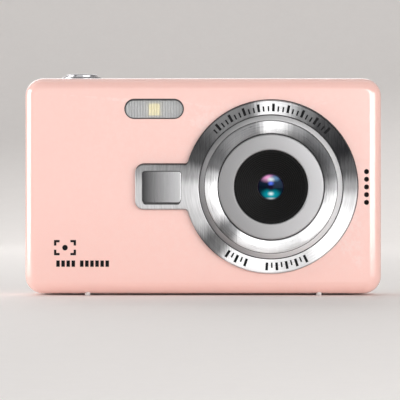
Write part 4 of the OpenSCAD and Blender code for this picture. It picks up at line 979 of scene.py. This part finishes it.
# flash
flashMid = frontPlace("flash_window")
flashSize = {"width": 15.5, "height": 4.95, "rib": 0.75, "ribDepth": 0.14, "groove": 0.22,
             "frameWidth": 16.0, "frameHeight": 5.45, "frameCorner": 2.7,
             "holeWidth": 15.34, "holeHeight": 4.68, "holeCorner": 2.3, "holeDrop": 0.1,
             "ledSeat": 4.4, "ledCorner": 0.3}


def makeFlashWindow():
    # clear window with fine upright grooves across its face
    s = flashSize
    outline = roundedBox(s["width"], s["height"], s["height"] / 2 - 0.05, 14)
    face = loft("flashWindow", outline, [(0, -1.4), (0, -0.02), (0.05, 0.06), (0.14, 0.1)], flashMid)
    count = int((s["width"] / 2 - 0.9) / s["rib"])
    half = s["groove"] / 2
    for i in range(-count, count + 1):
        over = max(0.0, abs(i) * s["rib"] - (s["width"] - s["height"]) / 2)
        reach = math.sqrt(max(0.3, (s["height"] / 2 - 0.35) ** 2 - over ** 2))
        groove = [(-half, -reach), (half, -reach), (half, reach), (-half, reach)]
        carve(face, loft("groove", groove, [(half * 0.9, 0.1 - s["ribDepth"]), (-half * 0.4, 0.14)],
                         flashMid + toRight * i * s["rib"] * mm))
    return face


def makeFlashShadowFrame():
    # black frame round the window, as painted shadow of its recess: the opening sits a little below the
    # middle, so the shadow is thicker at the top
    s = flashSize
    frameShape = roundedBox(s["frameWidth"], s["frameHeight"], s["frameCorner"], 14)
    shadowFrame = loft("flashShadowFrame", frameShape, [(0, -1.5), (0, 0.06), (0.08, 0.14)], flashMid)
    holeShape = roundedBox(s["holeWidth"], s["holeHeight"], s["holeCorner"], 14)
    # the hole sits low, so the painted shadow is thickest at the top
    return carve(shadowFrame, loft("hole", holeShape, [(0, -3), (0, 2)], flashMid - toTop * s["holeDrop"] * mm))


def makeLedSeat():
    s = flashSize
    base = Vector((middleOf("flash_led").x, highOf("flash_led").y - 0.02 * mm, middleOf("flash_led").z))
    shape = roundedBox(s["ledSeat"], s["ledSeat"], s["ledCorner"])
    return loft("ledSeat", shape, [(0, 0.0), (0, 0.35), (0.1, 0.45)], base)


fitBody(makeFlashWindow(), "flash_clear", "flash_window")
fit(makeFlashShadowFrame(), finish["frame_black"], "body", "flash_clear")
fitBody(makeLedSeat(), "reflector_white")
print("flash: window, ribs and surround made")

# top buttons: profile of (radius, height) in mm from the top face, over the node whose axis they share
topButtons = {
    "shutterButton": {"profile": [(0.0, 1.05), (2.2, 1.1), (3.4, 1.3), (4.3, 1.24), (4.3, -1.6),
                                  (4.75, -1.6), (4.75, -2.1), (1.2, -2.1), (1.2, -2.55), (0.0, -2.55)],
                      "edge": 0.4, "steps": 6, "closed": False, "metal": finish["button_chrome"],
                      "over": "shutter_button", "node": "shutter_button"},
    "shutterCollar": {"profile": [(4.45, -1.5), (5.0, -1.5), (5.0, 0.0), (5.5, 0.0), (5.3, 0.6),
                                  (4.45, 0.6)],
                      "edge": 0.12, "steps": 4, "closed": True, "metal": collarChrome,
                      "over": "shutter_button", "node": "shutter_collar"},
    "powerButton": {"profile": [(0.0, 0.06), (1.9, 0.1), (2.6, 0.06), (2.6, -1.6), (3.1, -1.6), (3.1, -2.1),
                                (1.2, -2.1), (1.2, -2.7), (0.0, -2.7)],
                    "edge": 0.16, "steps": 4, "closed": False, "metal": finish["button_chrome"],
                    "over": "power_button", "node": "power_button"},
}
for name, button in topButtons.items():
    profile = roundCorners(button["profile"], button["edge"], closed=button["closed"], steps=button["steps"])
    piece = lathe(name, profile, topPlace(button["over"]), toTop, closed=button["closed"])
    fit(piece, button["metal"], bodyOf(button["node"]), "button_chrome", button["node"])

# rear buttons: radius, rise and dish of each, in mm
rearButtons = {"mode_button": (2.3, 0.6, 0.1), "menu_button": (2.3, 0.6, 0.1),
               "playback_button": (2.3, 0.6, 0.1), "delete_button": (2.3, 0.6, 0.1),
               "ok_button": (3.3, 0.8, 0.18)}
buttonSize = {"edge": 0.3, "flange": 0.6, "stem": 1.2}


def rearButton(node, radius, rise, dish):
    s = buttonSize
    bottom = (lowOf(node).y - backY) / mm
    flange = radius + (s["flange"] if node != "ok_button" else 0.0)
    profile = [(0.0, rise - dish), (radius * 0.6, rise - dish * 0.6), (radius - 0.35, rise),
               (radius, rise - 0.1), (radius, -1.6), (flange, -1.6), (flange, -2.1), (s["stem"], -2.1),
               (s["stem"], bottom), (0.0, bottom)]
    piece = lathe(node + ".turned", roundCorners(profile, s["edge"], closed=False), rearPlace(node), toRear,
                  closed=False, steps=96)
    return fit(piece, finish["button_silver"], bodyOf(node), "button_silver", node)


for node, sizes in rearButtons.items():
    rearButton(node, *sizes)
lightProfile = roundCorners([(0.0, 0.12), (0.8, 0.02), (0.8, -2.0), (0.0, -2.0)], 0.2, closed=False)
fitBody(lathe("statusLight", lightProfile, rearPlace("status_light"), toRear, closed=False, steps=48),
        "light_lens", "status_light")
print("buttons: turned")

# tripod socket with its thread
threadSize = {"minor": 2.6, "depth": 0.42, "pitch": 1.27, "crest": 0.5, "end": 0.7, "steps": 48}


def makeThread():
    # a helical ridge on the bore's wall
    s = threadSize
    low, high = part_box("tripod_socket")
    mid = (low + high) / 2
    bm = bmesh.new()
    turns = ((high.z - low.z) / mm - 2 * s["end"]) / s["pitch"]
    rows = []
    for i in range(int(turns * s["steps"]) + 1):
        a = math.tau * i / s["steps"]
        outward = Vector((math.cos(a), math.sin(a), 0))
        centre = Vector((mid.x, mid.y, low.z + (s["end"] + s["pitch"] * i / s["steps"]) * mm))
        outer = centre + outward * (s["minor"] + 0.05) * mm
        rows.append([bm.verts.new(outer - toTop * s["crest"] * mm),
                     bm.verts.new(centre + outward * (s["minor"] - s["depth"]) * mm),
                     bm.verts.new(outer + toTop * s["crest"] * mm)])
    for one, two in zip(rows, rows[1:]):
        for k in range(3):
            bm.faces.new([one[k], one[(k + 1) % 3], two[(k + 1) % 3], two[k]])
    bm.faces.new(rows[0])
    bm.faces.new(rows[-1])
    return linkPiece("tripodThread", bm)


fitBody(makeThread(), "tripod_brass")
socketBase = Vector((middleOf("tripod_socket").x, middleOf("tripod_socket").y, lowOf("tripod_socket").z))
socketProfile = roundCorners([(2.6, 0.0), (4.2, 0.0), (4.2, -6.0), (2.6, -6.0)], 0.3)
fitBody(lathe("tripodSocket", socketProfile, socketBase, -toTop, steps=96), "tripod_brass", "tripod_socket")

footSize = {"radius": 0.75, "tall": 1.6, "edge": 0.15}
footProfile = roundCorners([(0.0, 0.0), (footSize["radius"], 0.0), (footSize["radius"], footSize["tall"]),
                            (0.0, footSize["tall"])], footSize["edge"], closed=False)
footReach = footSize["radius"] * mm
for i, x in enumerate((-1, 1)):
    for foot, y in (("front", lowOf("feet").y + footReach), ("rear", highOf("feet").y - footReach)):
        base = Vector((x * (highOf("feet").x - footReach), y, 0))
        pad = lathe(f"foot.{foot}.{i}", footProfile, base, toTop, closed=False, steps=32)
        fitBody(pad, "foot_rubber", *(["feet"] if i == 0 and foot == "front" else []))
print("underside: socket, thread and feet made")


# printed marks

def stamp(name, shapes, base, right, up, body, slot):
    # thin printed shapes, lists of (across, up) in mm, laid on a face
    bm = bmesh.new()
    out = right.cross(up)
    for shape in shapes:
        rings = [[bm.verts.new(base + (right * p[0] + up * p[1]) * mm + out * rise * mm) for p in shape]
                 for rise in (-0.02, 0.03)]
        for i in range(len(shape)):
            j = (i + 1) % len(shape)
            bm.faces.new([rings[0][i], rings[0][j], rings[1][j], rings[1][i]])
        bm.faces.new(rings[0])
        bm.faces.new(rings[1])
    return fit(linkPiece(name, bm), ink, body, slot)


def bar(x0, z0, x1, z1):
    x0, x1 = sorted((x0, x1))
    z0, z1 = sorted((z0, z1))
    return [(x0, z0), (x1, z0), (x1, z1), (x0, z1)]


def stroke(angle, inner, outer, width):
    # a radial stroke round the lens axis
    a = math.radians(angle)
    out, side = Vector((math.cos(a), math.sin(a))), Vector((-math.sin(a), math.cos(a)))
    corners = (out * inner - side * width / 2, out * outer - side * width / 2,
               out * outer + side * width / 2, out * inner + side * width / 2)
    return [tuple(c) for c in corners]


# graduation strokes on the bezel: first and last angle, and every how many strokes one is long
scaleArcs = {"scaleTop": (45, 136, 3), "scaleLeft": (237, 253, 2), "scaleRight": (267, 299, 2)}
scaleMarks = {"inner": 20.3, "long": 2.1, "short": 1.4, "wide": 0.7, "narrow": 0.42, "pitch": 3.6}


def scaleStrokes(start, stop, everyLong):
    s = scaleMarks
    strokes = []
    for i in range(int((stop - start) / s["pitch"]) + 1):
        length, width = (s["long"], s["wide"]) if i % everyLong == 0 else (s["short"], s["narrow"])
        strokes.append(stroke(start + i * s["pitch"], s["inner"], s["inner"] + length, width))
    return strokes


for name, arc in scaleArcs.items():
    stamp(name, scaleStrokes(*arc), lensBase + toFront * bezelSize["rise"] * mm, toRight, toTop,
          "body", "brushed_trim")

focusMark = {"fromLeft": 10.85, "height": 12.4, "width": 5.9, "tall": 4.1, "arm": 1.5, "line": 0.62,
             "dot": 0.75}


def focusFrame():
    # four corner brackets and a dot
    s = focusMark
    across, tall, line = s["width"] / 2, s["tall"] / 2, s["line"]
    shapes = []
    for x in (-1, 1):
        for z in (-1, 1):
            shapes.append(bar(x * across, z * tall, x * (across - s["arm"]), z * (tall - line)))
            shapes.append(bar(x * across, z * (tall - line), x * (across - line), z * (tall - s["arm"])))
    turn = [math.radians(20 * k) for k in range(18)]
    return shapes + [[(s["dot"] * math.cos(a), s["dot"] * math.sin(a)) for a in turn]]


dashRow = {"fromLeft": 8.5, "height": 8.1, "tall": 1.7, "wide": 0.95, "gap": 0.42, "first": 4, "second": 6,
           "space": 0.9}


def dashes():
    # two groups of plain dashes in a row
    s = dashRow
    shapes = []
    x = 0.0
    for i in range(s["first"] + s["second"]):
        shapes.append(bar(x, -s["tall"] / 2, x + s["wide"], s["tall"] / 2))
        x += s["wide"] + s["gap"] + (s["space"] if i == s["first"] - 1 else 0.0)
    return shapes


for name, mark, shapes in (("focusMark", focusMark, focusFrame()), ("dashRow", dashRow, dashes())):
    base = Vector((lowOf("front_cover").x + mark["fromLeft"] * mm, faceY,
                   lowOf("front_cover").z + mark["height"] * mm))
    stamp(name, shapes, base, toRight, toTop, "body", "pink_shell")

toLeft = -toRight  # across the rear face, seen from behind


def ringShape(outer, inner, start, stop, steps=24):
    turn = [math.radians(start + (stop - start) * i / steps) for i in range(steps + 1)]
    return ([(outer * math.cos(a), outer * math.sin(a)) for a in turn]
            + [(inner * math.cos(a), inner * math.sin(a)) for a in reversed(turn)])


rearMarks = {
    "playback_button": [[(-0.6, -0.8), (0.9, 0.0), (-0.6, 0.8)]],
    "menu_button": [bar(-0.9, z, 0.9, z + 0.26) for z in (-0.75, -0.13, 0.49)],
    "delete_button": [bar(-0.6, -0.85, 0.6, 0.45), bar(-0.85, 0.6, 0.85, 0.85)],
    "mode_button": [ringShape(0.95, 0.68, 0, 180), ringShape(0.95, 0.68, 180, 360),
                    ringShape(0.3, 0.02, 0, 355)],
}
for node, shapes in rearMarks.items():
    stamp("mark." + node, shapes, rearPlace(node, 0.52), toLeft, toTop, bodyOf(node), "button_silver")

keyArrow = {"shape": [(-0.8, -0.45), (0.8, -0.45), (0.0, 0.6)], "reach": 6.3,
            "turns": {"key_up": 0, "key_left": -90, "key_down": 180, "key_right": 90}}
for node, turn in keyArrow["turns"].items():
    a = math.radians(turn)
    spun = [(x * math.cos(a) - z * math.sin(a), x * math.sin(a) + z * math.cos(a))
            for x, z in keyArrow["shape"]]
    away = Vector(spun[2]).normalized() * keyArrow["reach"]
    shape = [(x + away.x, z + away.y) for x, z in spun]
    stamp("arrow." + node, [shape], rearPlace("ok_button", 0.6), toLeft, toTop, bodyOf(node),
          "button_silver")

stamp("zoomMarks", [bar(-4.6, -0.13, -3.2, 0.13), bar(3.2, -0.13, 4.6, 0.13), bar(3.77, 0.13, 4.03, 0.7),
                    bar(3.77, -0.7, 4.03, -0.13)],
      rearPlace("zoom_rocker", 0.6), toLeft, toTop, "zoom", "button_chrome")
stamp("powerMark", [ringShape(1.25, 0.98, 125, 415), bar(-0.14, 0.35, 0.14, 1.5)],
      topPlace("power_button") + toTop * 0.085 * mm, toRight, toRear, "power", "button_chrome")

# black cloth behind the sound holes
clothSize = {"width": 2.6, "height": 11.2, "corner": 0.5, "back": -2.2, "front": -1.6, "edge": 0.2}
clothShape = roundedBox(clothSize["width"], clothSize["height"], clothSize["corner"])
clothLayers = [(0, clothSize["back"]), (0, clothSize["front"] - 0.15),
               (clothSize["edge"], clothSize["front"])]
fit(loft("soundCloth", clothShape, clothLayers, frontPlace("speaker")), cloth, "body", "frame_black")
print("marks: stamped")

# studio
studio = {"floor": (0.92, 0.89, 0.87), "near": 1.04, "depth": 0.82, "width": 8.0, "wall": 2.4, "bend": 0.35}


def makeSweep():
    # floor that curves up into the backdrop
    s = studio
    path = [(-s["near"], 0.0), (s["depth"], 0.0)]
    for i in range(1, 17):
        a = math.radians(90 * i / 16)
        path.append((s["depth"] + s["bend"] * math.sin(a), s["bend"] * (1 - math.cos(a))))
    path.append((s["depth"] + s["bend"], s["wall"]))
    bm = bmesh.new()
    rows = [[bm.verts.new((x, y, z)) for x in (-s["width"] / 2, s["width"] / 2)] for y, z in path]
    for one, two in zip(rows, rows[1:]):
        bm.faces.new([one[0], one[1], two[1], two[0]])
    sweep = linkPiece("sweep", bm, 60)
    material, tree, shader = newMaterial("paperSweep", Base_Color=s["floor"], Roughness=0.7)
    grain = useGroup(tree, "grain", Size=2.0, Contrast=0.6)
    darker = tuple(c * 0.985 for c in s["floor"])
    tree.links.new(mixColour(tree, grain["Mask"], darker, s["floor"]), shader.inputs["Base Color"])
    sweep.data.materials.append(material)
    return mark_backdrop(sweep)


makeSweep()

lamps = {
    "front": {"place": (-0.05, -1.05, 0.06), "aim": (0, 0, 0.03), "size": (1.5, 0.9), "power": 3.2},
    "left": {"place": (-0.50, -0.03, 0.04), "aim": (0, 0, 0.03), "size": (0.36, 0.5), "power": 2.9},
    "right": {"place": (0.35, -0.50, 0.03), "aim": (0, 0, 0.03), "size": (0.58, 0.4), "power": 3.1},
    "rear": {"place": (-0.2, 0.80, 0.45), "aim": (0, 0.0, 0.03), "size": (0.9, 0.5), "power": 2.2},
    "backdrop": {"place": (0.0, 0.25, 1.1), "aim": (0, 1.2, 0.2), "size": (2.4, 0.3), "power": 3.6},
}
for name, lamp in lamps.items():
    light = bpy.data.lights.new("light." + name, "AREA")
    light.shape = "RECTANGLE"
    light.size, light.size_y = lamp["size"]
    light.energy = lamp["power"]
    holder = bpy.data.objects.new("light." + name, light)
    holder.location = lamp["place"]
    aim = Vector(lamp["aim"]) - Vector(lamp["place"])
    holder.rotation_euler = aim.to_track_quat("-Z", "Y").to_euler()
    scene.collection.objects.link(holder)

world = bpy.data.worlds.new("studioAir")
world.use_nodes = True
air = world.node_tree.nodes["Background"]
air.inputs["Color"].default_value = (1.0, 0.985, 0.975, 1)
seen = world.node_tree.nodes.new("ShaderNodeLightPath").outputs["Is Camera Ray"]
world.node_tree.links.new(addRange(world.node_tree, seen, 0.0, 1.0, 0.3, 0.72), air.inputs["Strength"])
scene.world = world
scene.view_settings.view_transform = "Standard"

view = {"lens": 250.0, "sensor": 36.0, "frameWidth": 107.5, "shiftRight": -0.87, "aimHeight": 25.7}
camera = bpy.data.cameras.new("camera")
camera.lens = view["lens"]
camera.sensor_width = view["sensor"]
cameraHolder = bpy.data.objects.new("camera", camera)
distance = view["frameWidth"] * mm * view["lens"] / view["sensor"]
cameraHolder.location = (view["shiftRight"] * mm, faceY - distance, view["aimHeight"] * mm)
cameraHolder.rotation_euler = (math.radians(90), 0, 0)
camera.clip_start = 0.01
scene.collection.objects.link(cameraHolder)
scene.camera = cameraHolder
print("studio: sweep, lamps and camera set")
